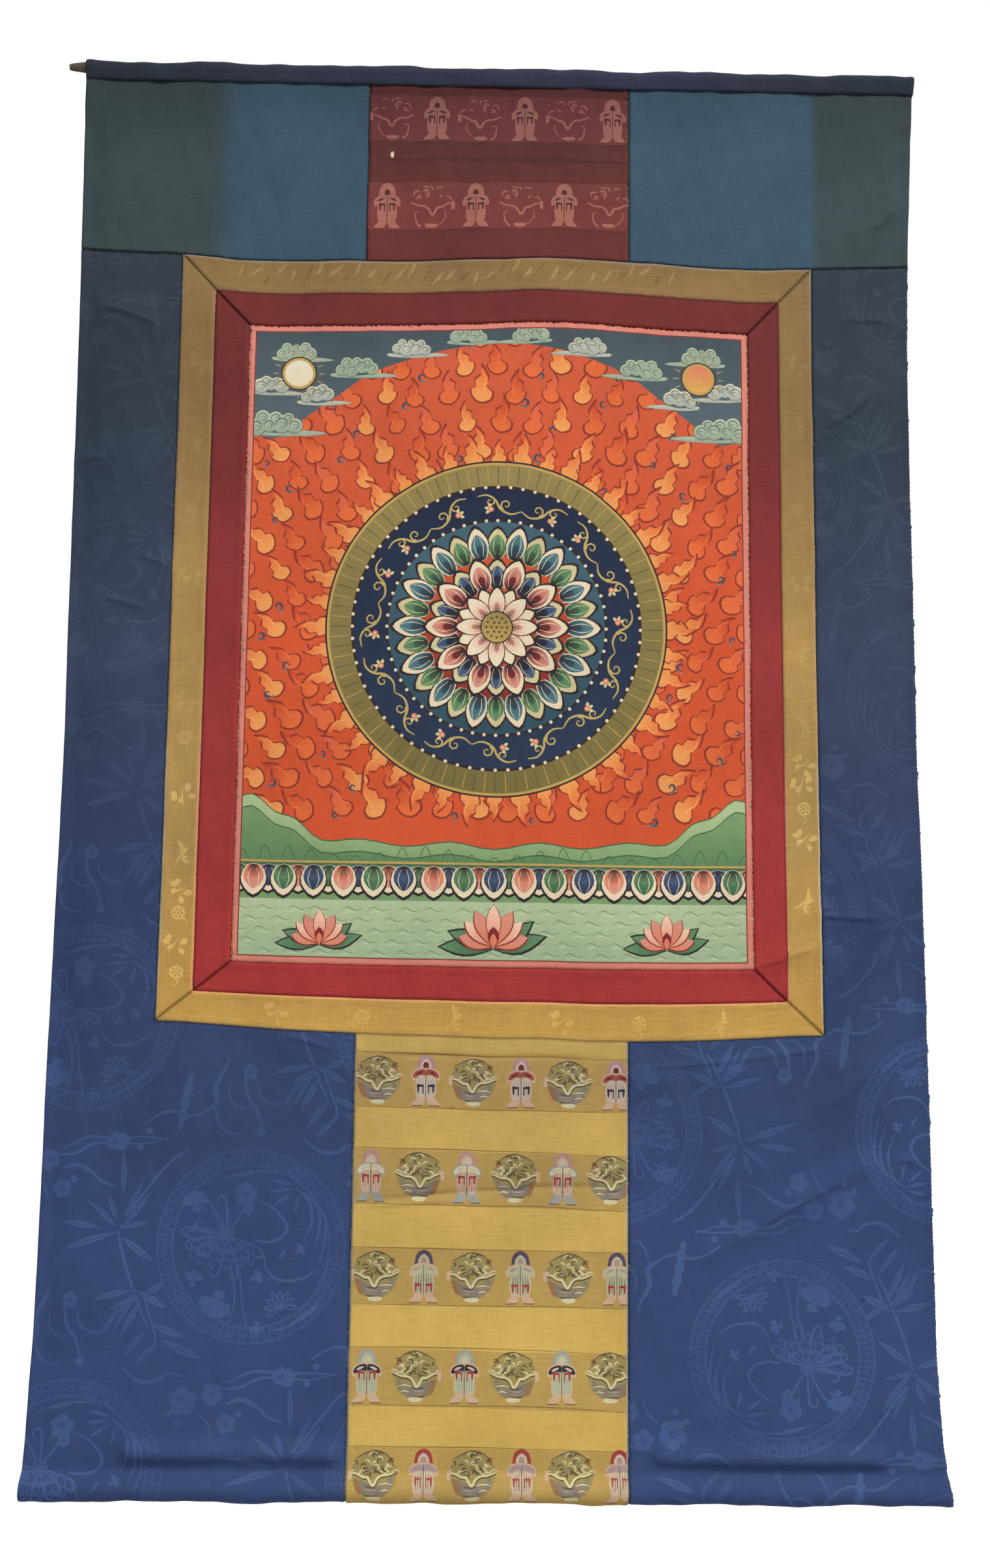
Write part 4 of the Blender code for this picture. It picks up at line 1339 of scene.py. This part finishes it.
def painting_drawing(region):
    drawing = Drawing()
    middle_across = sum(PAINTING_SIDES) / 2
    middle_level = (PAINTING_TOP + PAINTING_FOOT) / 2
    pen = Pen(drawing, middle_across, middle_level)
    painting_ground(pen)
    cloud_bank(pen)
    pond(pen)
    lotus_wheel(pen)
    half_across, half_up = PAINTING_HALF
    sides = (
        # width, ink
        (9.0, "border_dark"),
        (7.6, "border_rose"),
    )
    for width, name in sides:
        pen.fill(rectangle(-304, -half_across + width, 388, -388), name)
        pen.fill(rectangle(half_across - width, 304, 388, -388), name)
        pen.fill(rectangle(-304, 304, 388, half_up - width), name)
        pen.fill(rectangle(-304, 304, -half_up + width, -388), name)
    return drawing.clipped(region)


# Sheets.

# What a cloth does at a side: how far it goes past its seam line.
MARGINS = {"over": 0.0006, "under": 0.0060, "mitre": 0.0004, "edge": 0.0}
BASE_LIFT = 0.0005


class Sheet:
    """One cut piece of cloth: its corners in the flat layout, and how it ends at each side."""

    def __init__(self, name, corners, sides, place=hang, cell=0.0065):
        self.name = name
        self.corners = np.asarray(corners, float)
        self.sides = sides
        self.place = place
        self.cell = cell
        self.region = widened(self.corners, [MARGINS[side] for side in sides])

    def lift(self, points):
        """How far the cloth's face stands off the CAD sheet's middle, towards the viewer."""
        rise = BASE_LIFT + crease_rise(points) + cockle(points)
        within = np.where(inside(points, self.corners), 1.0, -1.0)
        for index, side in enumerate(self.sides):
            end = self.corners[(index + 1) % len(self.corners)]
            distance, _ = along_segment(points, self.corners[index], end)
            distance = distance * within
            if side == "under":
                rise -= 0.0018 * smooth(0.0030, -0.0020, distance)
            elif side == "over":
                rise += 0.0006 * smooth(0.0090, 0.0055, distance)
                rise -= 0.0007 * smooth(0.0016, -0.0006, distance)
            elif side == "mitre":
                rise -= 0.0008 * smooth(0.0035, 0.0, distance)
            elif side == "edge":
                rise += 0.0004 * smooth(0.0100, 0.0070, distance)
                rise -= 0.0005 * smooth(0.0015, 0.0, distance)
        return rise

    def seam_dust_and_shade(self, points):
        """Painted shade and dust in a seam: the share of the cloth's colour kept next to under and mitred seams, which
        darken it.
        """
        kept_share = np.ones(len(points))
        for index, side in enumerate(self.sides):
            end = self.corners[(index + 1) % len(self.corners)]
            distance, _ = along_segment(points, self.corners[index], end)
            if side in ("under", "mitre"):
                kept_share *= 1 - 0.45 * smooth(0.0030, 0.0006, distance)
        return kept_share

    def spots(self, cell, fine):
        """Extra points for the mesh: a grid, and rows beside the seams and the creases."""
        low, high = self.region.min(axis=0), self.region.max(axis=0)
        levels = np.arange(low[1] + cell / 2, high[1], cell)
        if self.place is hang:
            rolled = np.arange(low[1] + 0.0015, min(high[1], SLEEVE_SEAM + 0.02), 0.003)
            levels = np.concatenate([levels[levels > SLEEVE_SEAM + 0.02], rolled])
        across = np.arange(low[0] + cell / 2, high[0], cell)
        found = [np.stack(np.meshgrid(across, levels), axis=-1).reshape(-1, 2)]
        for index, side in enumerate(self.sides):
            start = self.corners[index]
            way = self.corners[(index + 1) % len(self.corners)] - start
            length = math.hypot(*way)
            way = way / length
            out = np.array((way[1], -way[0]))
            steps = np.arange(fine / 2, length, fine)[:, None]
            for off in (-0.0100, -0.0075, -0.0055, -0.0035, -0.0015, 0.0, 0.0020):
                found.append(start + way * steps + out * off)
                found.append(start + way * steps - out * off)
        for half_width, _, line in CREASES:
            for start, end in zip(line, line[1:]):
                start, way = np.array(start), np.array(end) - start
                length = math.hypot(*way)
                way = way / length
                out = np.array((way[1], -way[0]))
                steps = np.arange(fine / 2, length, fine)[:, None]
                for off in (-2.0, -1.2, -0.6, 0.0, 0.6, 1.2, 2.0):
                    found.append(start + way * steps + out * off * half_width)
        spots = np.unique(np.round(np.concatenate(found), 5), axis=0)
        kept = inside(spots, self.region)
        for start, end in zip(self.region, np.roll(self.region, -1, axis=0)):
            kept &= along_segment(spots, start, end)[0] > 0.0007
        return spots[kept]


def triangulate(region, shapes, spots):
    """Cuts the region into triangles along every shape. Gives points, triangles and each one's top shape."""
    points, faces = [], []
    for polygon in [region, *shapes]:
        first = len(points)
        points.extend(Vector(point) for point in polygon)
        faces.append(list(range(first, len(points))))
    points.extend(Vector(point) for point in spots)
    made = delaunay_2d_cdt(points, [], faces, 0, 1e-6, True)
    kept = [(face, max(origins)) for face, origins in zip(made[2], made[5]) if origins and 0 in origins]
    triangles = np.array([face for face, _ in kept])
    tops = np.array([top for _, top in kept])
    return np.array([tuple(point) for point in made[0]]), triangles, tops


def rim_of(triangles):
    """The triangles' outer edges, as pairs of points in the triangles' own sense."""
    edges = np.concatenate([triangles[:, [0, 1]], triangles[:, [1, 2]], triangles[:, [2, 0]]])
    known = {(int(a), int(b)) for a, b in edges}
    return [(a, b) for a, b in known if (b, a) not in known]


def ordered(rim):
    """The rim's points in their order round it."""
    ahead = dict(rim)
    way = [rim[0][0]]
    while ahead[way[-1]] != way[0]:
        way.append(ahead[way[-1]])
    return way


def make_sheet(sheet, drawing, ground, back, materials, tone, figure_share):
    """Cuts a sheet, hangs it, and gives it a face, a plain back and a rim between them."""
    longest = sheet.cell
    region = sheet.region
    if signed_area(region) < 0:
        region = region[::-1]
    region = refine(region, 0.0040)
    shapes = []
    for polygon in drawing.shapes:
        fine = 0.003 if polygon[:, 1].min() < SLEEVE_SEAM + 0.02 else longest
        shapes.append(refine(polygon, fine))
    flat, triangles, tops = triangulate(region, shapes, sheet.spots(sheet.cell, 0.0050))
    used = np.unique(triangles)
    renumber = np.zeros(len(flat), int)
    renumber[used] = np.arange(len(used))
    flat, triangles = flat[used], renumber[triangles]

    rim = ordered(rim_of(triangles))
    back_flat, back_triangles, _ = triangulate(flat[rim], [], sheet.spots(sheet.cell * 1.3, 0.0080))
    face_places = sheet.place(flat, sheet.lift(flat))
    back_places = sheet.place(back_flat, sheet.lift(back_flat) - CLOTH)
    count = len(flat)
    # The cut's first points are the rim's own, in the same order.
    rims = []
    for index, start in enumerate(rim):
        after = (index + 1) % len(rim)
        end = rim[after]
        rims.append((start, end, count + index))
        rims.append((end, count + after, count + index))
    triangles_all = np.concatenate([triangles, back_triangles[:, ::-1] + count, np.array(rims)[:, ::-1]])
    places = np.concatenate([face_places, back_places])
    layout = np.concatenate([flat, back_flat])

    mesh = bpy.data.meshes.new(sheet.name)
    mesh.from_pydata(places.tolist(), [], triangles_all.tolist())
    mesh.update()

    # The first ink is the ground's.
    grounds = (ink(ground), ink(ground), (0, 0), (0, 1))
    table = [grounds, *drawing.inks]
    first = np.array([row[0] for row in table])
    second = np.array([row[1] for row in table])
    start = np.array([row[2] for row in table], float)
    way = np.array([row[3] for row in table], float) - start
    corners = triangles.reshape(-1)
    top = np.repeat(tops, 3)
    share = np.einsum("ij,ij->i", flat[corners] - start[top], way[top])
    share = np.clip(share / np.maximum((way[top] ** 2).sum(axis=1), 1e-12), 0.0, 1.0)[:, None]
    colours = first[top] * (1 - share) + second[top] * share
    plain = np.array(ink(ground)[:3])
    kept = figure_share(flat[corners])[:, None]
    # tone holds the painted shade by level, together with the teal's and the heading's own changes of colour.
    colours[:, :3] = (plain + (colours[:, :3] - plain) * kept) * tone(flat[corners])
    # Painted shade and dust next to under and mitred seams.
    colours[:, :3] *= sheet.seam_dust_and_shade(flat[corners])[:, None]
    rest = (len(triangles_all) - len(triangles)) * 3
    backs = np.tile(np.array(ink(back)), (rest, 1))
    # The back takes the same tone, painted shade by level included.
    backs[:, :3] *= tone(layout[triangles_all[len(triangles):].reshape(-1)])
    attribute = mesh.attributes.new("ink", "FLOAT_COLOR", "CORNER")
    attribute.data.foreach_set("color", np.concatenate([colours, backs]).astype(np.float32).reshape(-1))
    uv = mesh.uv_layers.new(name="flat")
    uv.data.foreach_set("uv", layout[triangles_all.reshape(-1)].astype(np.float32).reshape(-1))
    mesh.polygons.foreach_set("use_smooth", [True] * len(triangles_all))
    obj = bpy.data.objects.new(sheet.name, mesh)
    bpy.context.scene.collection.objects.link(obj)
    for material in materials:
        mesh.materials.append(material)
    if len(materials) > 1:
        index = np.zeros(len(triangles_all), np.int32)
        index[len(triangles):] = 1
        mesh.polygons.foreach_set("material_index", index)
    mesh.validate()
    print(sheet.name, len(triangles_all))
    return obj


# Materials.


def link(tree, source, target):
    tree.links.new(source, target)


def cloth_material(name, thread, streak, mottle, roughness, sheen, bump):
    """A woven cloth, coloured by the drawn inks."""
    material = bpy.data.materials.new(name)
    material.use_nodes = True
    tree = material.node_tree
    nodes = tree.nodes
    shader = nodes["Principled BSDF"]
    inks = nodes.new("ShaderNodeAttribute")
    inks.attribute_name = "ink"
    flat = nodes.new("ShaderNodeUVMap")
    flat.uv_map = "flat"

    def noise(scale_across, scale_down, detail):
        stretch = nodes.new("ShaderNodeMapping")
        stretch.inputs["Scale"].default_value = (scale_across, scale_down, 1.0)
        texture = nodes.new("ShaderNodeTexNoise")
        texture.inputs["Scale"].default_value = 1.0
        texture.inputs["Detail"].default_value = detail
        link(tree, flat.outputs["UV"], stretch.inputs["Vector"])
        link(tree, stretch.outputs["Vector"], texture.inputs["Vector"])
        return texture.outputs["Fac"]

    def math_node(operation, first, second):
        node = nodes.new("ShaderNodeMath")
        node.operation = operation
        for socket, value in zip(node.inputs, (first, second)):
            if isinstance(value, (int, float)):
                socket.default_value = value
            else:
                link(tree, value, socket)
        return node.outputs["Value"]

    def around_one(value, reach):
        spread = nodes.new("ShaderNodeMapRange")
        spread.inputs["From Min"].default_value = 0.3
        spread.inputs["From Max"].default_value = 0.7
        spread.inputs["To Min"].default_value = 1 - reach
        spread.inputs["To Max"].default_value = 1 + reach
        link(tree, value, spread.inputs["Value"])
        return spread.outputs["Result"]

    weft = noise(40.0, 0.55 / thread, 3.0)
    warp = noise(0.55 / thread, 40.0, 3.0)
    stains = noise(9.0, 9.0, 6.0)
    tint = math_node("MULTIPLY", around_one(weft, streak), around_one(warp, streak * 0.7))
    tint = math_node("MULTIPLY", tint, around_one(stains, mottle))
    toned = nodes.new("ShaderNodeVectorMath")
    toned.operation = "SCALE"
    link(tree, inks.outputs["Color"], toned.inputs[0])
    link(tree, tint, toned.inputs["Scale"])
    link(tree, toned.outputs["Vector"], shader.inputs["Base Color"])

    gloss = math_node("MULTIPLY", inks.outputs["Alpha"], -0.22)
    rough = math_node("ADD", gloss, roughness)
    link(tree, rough, shader.inputs["Roughness"])

    waves = []
    for direction, around in (("X", 0.0), ("Y", 0.0)):
        wave = nodes.new("ShaderNodeTexWave")
        wave.bands_direction = direction
        wave.inputs["Scale"].default_value = 1.0 / thread / 2
        wave.inputs["Distortion"].default_value = 1.5
        link(tree, flat.outputs["UV"], wave.inputs["Vector"])
        waves.append(wave.outputs["Fac"])
    weave = math_node("ADD", waves[0], waves[1])
    weave = math_node("ADD", weave, math_node("MULTIPLY", weft, 2.0))
    relief = nodes.new("ShaderNodeBump")
    relief.inputs["Strength"].default_value = bump
    relief.inputs["Distance"].default_value = thread * 0.4
    link(tree, weave, relief.inputs["Height"])
    link(tree, relief.outputs["Normal"], shader.inputs["Normal"])
    shader.inputs["Specular IOR Level"].default_value = 0.15
    shader.inputs["Sheen Weight"].default_value = sheen
    shader.inputs["Sheen Roughness"].default_value = 0.45
    return material


def wood_material():
    """Old softwood, darkened by hands."""
    material = bpy.data.materials.new("old_wood_grain")
    material.use_nodes = True
    tree = material.node_tree
    nodes = tree.nodes
    shader = nodes["Principled BSDF"]
    place = nodes.new("ShaderNodeTexCoord")
    stretch = nodes.new("ShaderNodeMapping")
    stretch.inputs["Scale"].default_value = (9.0, 420.0, 420.0)
    grain = nodes.new("ShaderNodeTexNoise")
    grain.inputs["Detail"].default_value = 6.0
    grain.inputs["Scale"].default_value = 1.0
    colours = nodes.new("ShaderNodeValToRGB")
    colours.color_ramp.elements[0].position = 0.3
    colours.color_ramp.elements[0].color = (0.030, 0.020, 0.013, 1.0)
    colours.color_ramp.elements[1].position = 0.7
    colours.color_ramp.elements[1].color = (0.150, 0.105, 0.070, 1.0)
    relief = nodes.new("ShaderNodeBump")
    relief.inputs["Strength"].default_value = 0.5
    relief.inputs["Distance"].default_value = 0.0004
    link(tree, place.outputs["Object"], stretch.inputs["Vector"])
    link(tree, stretch.outputs["Vector"], grain.inputs["Vector"])
    link(tree, grain.outputs["Fac"], colours.inputs["Fac"])
    link(tree, colours.outputs["Color"], shader.inputs["Base Color"])
    link(tree, grain.outputs["Fac"], relief.inputs["Height"])
    link(tree, relief.outputs["Normal"], shader.inputs["Normal"])
    shader.inputs["Roughness"].default_value = 0.62
    return material


# The pieces.


# Painted shade by level: each cloth's ink at some levels, darker towards the top. The teal and maroon are darkest just
# under the heading, where the darkening is a painted shadow.
BLUE_SHADE_ROWS = ((-0.25, "blue_top"), (-0.42, "blue_top"), (-0.72, "blue_mid"), (-1.02, "blue_low"), (-1.45, "blue"))
GOLD_SHADE_ROWS = ((-0.25, "gold_top"), (-0.42, "gold_top"), (-0.72, "gold_cloth"), (-0.95, "gold_cloth"), (-1.14, "gold_low"))
RED_SHADE_ROWS = ((-0.29, "crimson_top"), (-0.42, "crimson_top"), (-0.72, "crimson"), (-1.11, "crimson_foot"))
BROCADE_SHADE_ROWS = ((-1.16, "brocade_top"), (-1.50, "brocade"))
MAROON_SHADE_ROWS = ((-0.03, "maroon_top"), (-0.12, "maroon"), (-0.23, "maroon_low"))
TEAL_SHADE_ROWS = ((-0.03, "teal_top"), (-0.10, "teal"))
TEAL_DULL_SHADE_ROWS = ((-0.03, "teal_dull_top"), (-0.14, "teal_dull"), (-0.24, "teal_dull"))


def shaded_by_level(ground, rows):
    """Painted shade down a cloth's length, darker towards the top: each row is a level and its ground's ink there."""
    shades = np.array(sorted((level, *ink(name)[:3]) for level, name in rows))

    def tone(points):
        found = [np.interp(points[:, 1], shades[:, 0], shades[:, column]) for column in (1, 2, 3)]
        return np.stack(found, axis=-1) / np.array(ink(ground)[:3])

    return tone


def teal_tone(points):
    """The teal panels, which are duller and greener outside a line on each side. Painted shade by level darkens them
    towards the top, most just under the heading.
    """
    across = points[:, 0]
    dull = (smooth(-0.310, -0.350, across) + smooth(0.373, 0.381, across))[:, None]
    return shaded_by_level("teal", TEAL_SHADE_ROWS)(points) * (1 - dull) + shaded_by_level("teal", TEAL_DULL_SHADE_ROWS)(points) * dull


def navy_tone(points):
    grey = smooth(0.20, 0.45, np.abs(points[:, 0] - 0.02))[:, None]
    return 1 - grey + grey * np.array(ink("navy_grey")[:3]) / np.array(ink("navy")[:3])


def even(points):
    return np.ones((len(points), 3))


def always(points):
    return np.ones(len(points))


def damask_share(points):
    """How much of the damask's figure shows: less in the upper strips, and uneven all over."""
    across, level = points.T
    patches = 0.75 + 0.25 * np.sin(21 * across + 5 * level + 1.0) * np.sin(13 * level - 9 * across)
    return patches * (0.42 + 0.58 * smooth(-0.80, -1.15, level))


def gold_share(points):
    """The gold damask shows best in the lower halves of the side strips and in the top strip."""
    level = points[:, 1]
    return 0.25 + 0.75 * smooth(-0.80, -0.88, level) * smooth(-1.16, -1.10, level) + 0.5 * smooth(-0.34, -0.30, level)


def edging(drawing, start, end, width, name, steps=40):
    """A narrow line of a cloth's own selvedge or piping along its side, just inside it."""
    start, end = np.asarray(start, float), np.asarray(end, float)
    way = (end - start) / math.dist(start, end)
    inward = np.array((way[1], -way[0]))
    t = np.linspace(-0.01, 1.01, steps)[:, None]
    line = start + (end - start) * t
    wave = width * (1 + 0.22 * np.sin(37 * t + 3 * width / MM) * np.sin(91 * t))
    drawing.add(np.concatenate([line - inward * 0.002, (line + inward * wave)[::-1]]), name)


def main():
    cotton = cloth_material("plain_cotton", 0.0009, 0.10, 0.10, 0.92, 0.03, 0.35)
    silk = cloth_material("plain_silk", 0.0008, 0.10, 0.09, 0.80, 0.03, 0.25)
    damask_silk = cloth_material("figured_silk", 0.0008, 0.08, 0.08, 0.78, 0.03, 0.25)
    paint = cloth_material("mineral_paint", 0.0010, 0.05, 0.07, 0.88, 0.02, 0.18)
    wood = wood_material()
    for node in ("top_stave", "foot_dowel"):
        obj = bpy.data.objects[node]
        obj.data.materials.clear()
        obj.data.materials.append(wood)

    left, right = MOUNT_SIDES

    def put(name, corners, sides, ground, material, draw=None, back="lining",
            tone=even, share=always, place=hang, cell=0.0065):
        sheet = Sheet(name + "_cloth", corners, sides, place, cell)
        drawing = draw(sheet.region) if draw else Drawing()
        obj = make_sheet(sheet, drawing, ground, back, [material], tone, share)
        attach(obj, "root")
        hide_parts(name)
        return obj

    heading = put(
        "heading_sleeve", rectangle(left, right, 0.0, -HEADING.length), ["edge"] * 4, "navy", cotton,
        back="navy_dark", tone=navy_tone, place=hang_heading, cell=0.004,
    )
    panels = (
        # name, slot, ground, left, right, sides from the top clockwise, drawing, tone
        ("teal_panel_left", "teal_silk", "teal", left, TOP_PANEL_SIDES[0], ("under", "under", "under", "edge"),
         None, teal_tone),
        ("top_panel", "red_brocade", "maroon", *TOP_PANEL_SIDES, ("under", "over", "under", "over"),
         panel_drawing, shaded_by_level("maroon", MAROON_SHADE_ROWS)),
        ("teal_panel_right", "teal_silk", "teal", TOP_PANEL_SIDES[1], right, ("under", "edge", "under", "under"),
         None, teal_tone),
    )
    for name, slot, ground, from_side, to_side, sides, draw, tone in panels:
        corners = rectangle(from_side, to_side, PANELS_TOP, TOP_SEAM)
        put(name, corners, sides, ground, silk, draw, tone=tone)

    def ring(name, outer, inner, ground, outer_side, inner_side, draw, tone, share):
        for index, side in enumerate(("top", "right", "foot", "left")):
            ahead = (index + 1) % 4
            strip = [outer[index], outer[ahead], inner[ahead], inner[index]]
            put(f"{name}_{side}", strip, (outer_side, "mitre", inner_side, "mitre"), ground, silk,
                lambda region: draw(region, index, strip), tone=tone, share=share)

    gold = rectangle(*GOLD_SIDES, TOP_SEAM, GOLD_FOOT)
    red = rectangle(*RED_SIDES, RED_TOP, RED_FOOT)
    painting = rectangle(*PAINTING_SIDES, PAINTING_TOP, PAINTING_FOOT)
    ring("gold_frame", gold, red, "gold_cloth", "over", "over", gold_drawing,
         shaded_by_level("gold_cloth", GOLD_SHADE_ROWS), gold_share)
    ring("red_frame", red, painting, "crimson", "under", "over", red_drawing,
         shaded_by_level("crimson", RED_SHADE_ROWS), always)
    put("painting", painting, ["under"] * 4, "vermilion", paint, painting_drawing,
        back="raw_cotton")
    foot = SLEEVE_SEAM - ROLL.length
    put("column_panel", rectangle(*COLUMN_SIDES, GOLD_FOOT, foot), ("under", "over", "edge", "over"),
        "brocade", damask_silk, column_drawing,
        tone=shaded_by_level("brocade", BROCADE_SHADE_ROWS))
    blues = (
        # name, mount's side, frame's side, column's side, a round's place, turn
        ("blue_panel_left", left, GOLD_SIDES[0], COLUMN_SIDES[0], (-0.263, -1.392), 0.0),
        ("blue_panel_right", right, GOLD_SIDES[1], COLUMN_SIDES[1], (0.322, -1.504), 180.0),
    )
    for name, outer, beside, column, first, turn in blues:
        corners = [(outer, TOP_SEAM), (beside, TOP_SEAM), (beside, GOLD_FOOT), (column, GOLD_FOOT),
                   (column, foot), (outer, foot)]
        put(name, corners, ("under", "under", "under", "under", "edge", "edge"), "blue", damask_silk,
            lambda region: damask(region, first, turn),
            tone=shaded_by_level("blue", BLUE_SHADE_ROWS), share=damask_share)


main()


def make_stage():
    world = bpy.data.worlds.new("studio")
    bpy.context.scene.world = world
    world.use_nodes = True
    tree = world.node_tree
    light = tree.nodes["Background"]
    light.inputs["Color"].default_value = (1.0, 1.0, 1.0, 1.0)
    light.inputs["Strength"].default_value = 0.40
    seen = tree.nodes.new("ShaderNodeBackground")
    seen.inputs["Color"].default_value = (1.0, 1.0, 1.0, 1.0)
    seen.inputs["Strength"].default_value = 1.0
    ray = tree.nodes.new("ShaderNodeLightPath")
    mix = tree.nodes.new("ShaderNodeMixShader")
    tree.links.new(ray.outputs["Is Camera Ray"], mix.inputs["Fac"])
    tree.links.new(light.outputs["Background"], mix.inputs[1])
    tree.links.new(seen.outputs["Background"], mix.inputs[2])
    tree.links.new(mix.outputs["Shader"], tree.nodes["World Output"].inputs["Surface"])

    mesh = bpy.data.meshes.new("floor")
    mesh.from_pydata([(-9, -9, FLOOR_Z), (9, -9, FLOOR_Z), (9, 9, FLOOR_Z), (-9, 9, FLOOR_Z)], [], [(0, 1, 2, 3)])
    floor = bpy.data.objects.new("floor", mesh)
    bpy.context.scene.collection.objects.link(floor)
    material = bpy.data.materials.new("pale_floor")
    material.use_nodes = True
    shader = material.node_tree.nodes["Principled BSDF"]
    shader.inputs["Base Color"].default_value = (0.6, 0.6, 0.6, 1.0)
    shader.inputs["Roughness"].default_value = 0.9
    shader.inputs["Emission Color"].default_value = (1.0, 1.0, 1.0, 1.0)
    seen_floor = material.node_tree.nodes.new("ShaderNodeLightPath")
    material.node_tree.links.new(seen_floor.outputs["Is Camera Ray"], shader.inputs["Emission Strength"])
    mesh.materials.append(material)

    lamp = bpy.data.lights.new("key", "AREA")
    lamp.shape = "SQUARE"
    lamp.size = 2.6
    lamp.energy = 380.0
    key = bpy.data.objects.new("key", lamp)
    key.location = (2.2, -4.5, 3.4)
    aim = Vector((0.0, 0.0, -0.9)) - key.location
    key.rotation_mode = "QUATERNION"
    key.rotation_quaternion = aim.to_track_quat("-Z", "Y")
    bpy.context.scene.collection.objects.link(key)
    bpy.context.scene.view_settings.view_transform = "Standard"


def make_camera():
    lens = bpy.data.cameras.new("camera")
    lens.sensor_fit = "VERTICAL"
    lens.sensor_height = CAMERA_SENSOR
    lens.lens = CAMERA_LENS
    camera = bpy.data.objects.new("camera", lens)
    turn = Matrix.Rotation(math.radians(-CAMERA_YAW), 4, "Z")
    turn = turn @ Matrix.Rotation(math.radians(90 + CAMERA_PITCH), 4, "X")
    turn = turn @ Matrix.Rotation(math.radians(CAMERA_ROLL), 4, "Z")
    camera.matrix_world = Matrix.Translation(CAMERA_PLACE) @ turn
    bpy.context.scene.collection.objects.link(camera)
    bpy.context.scene.camera = camera


make_stage()
make_camera()
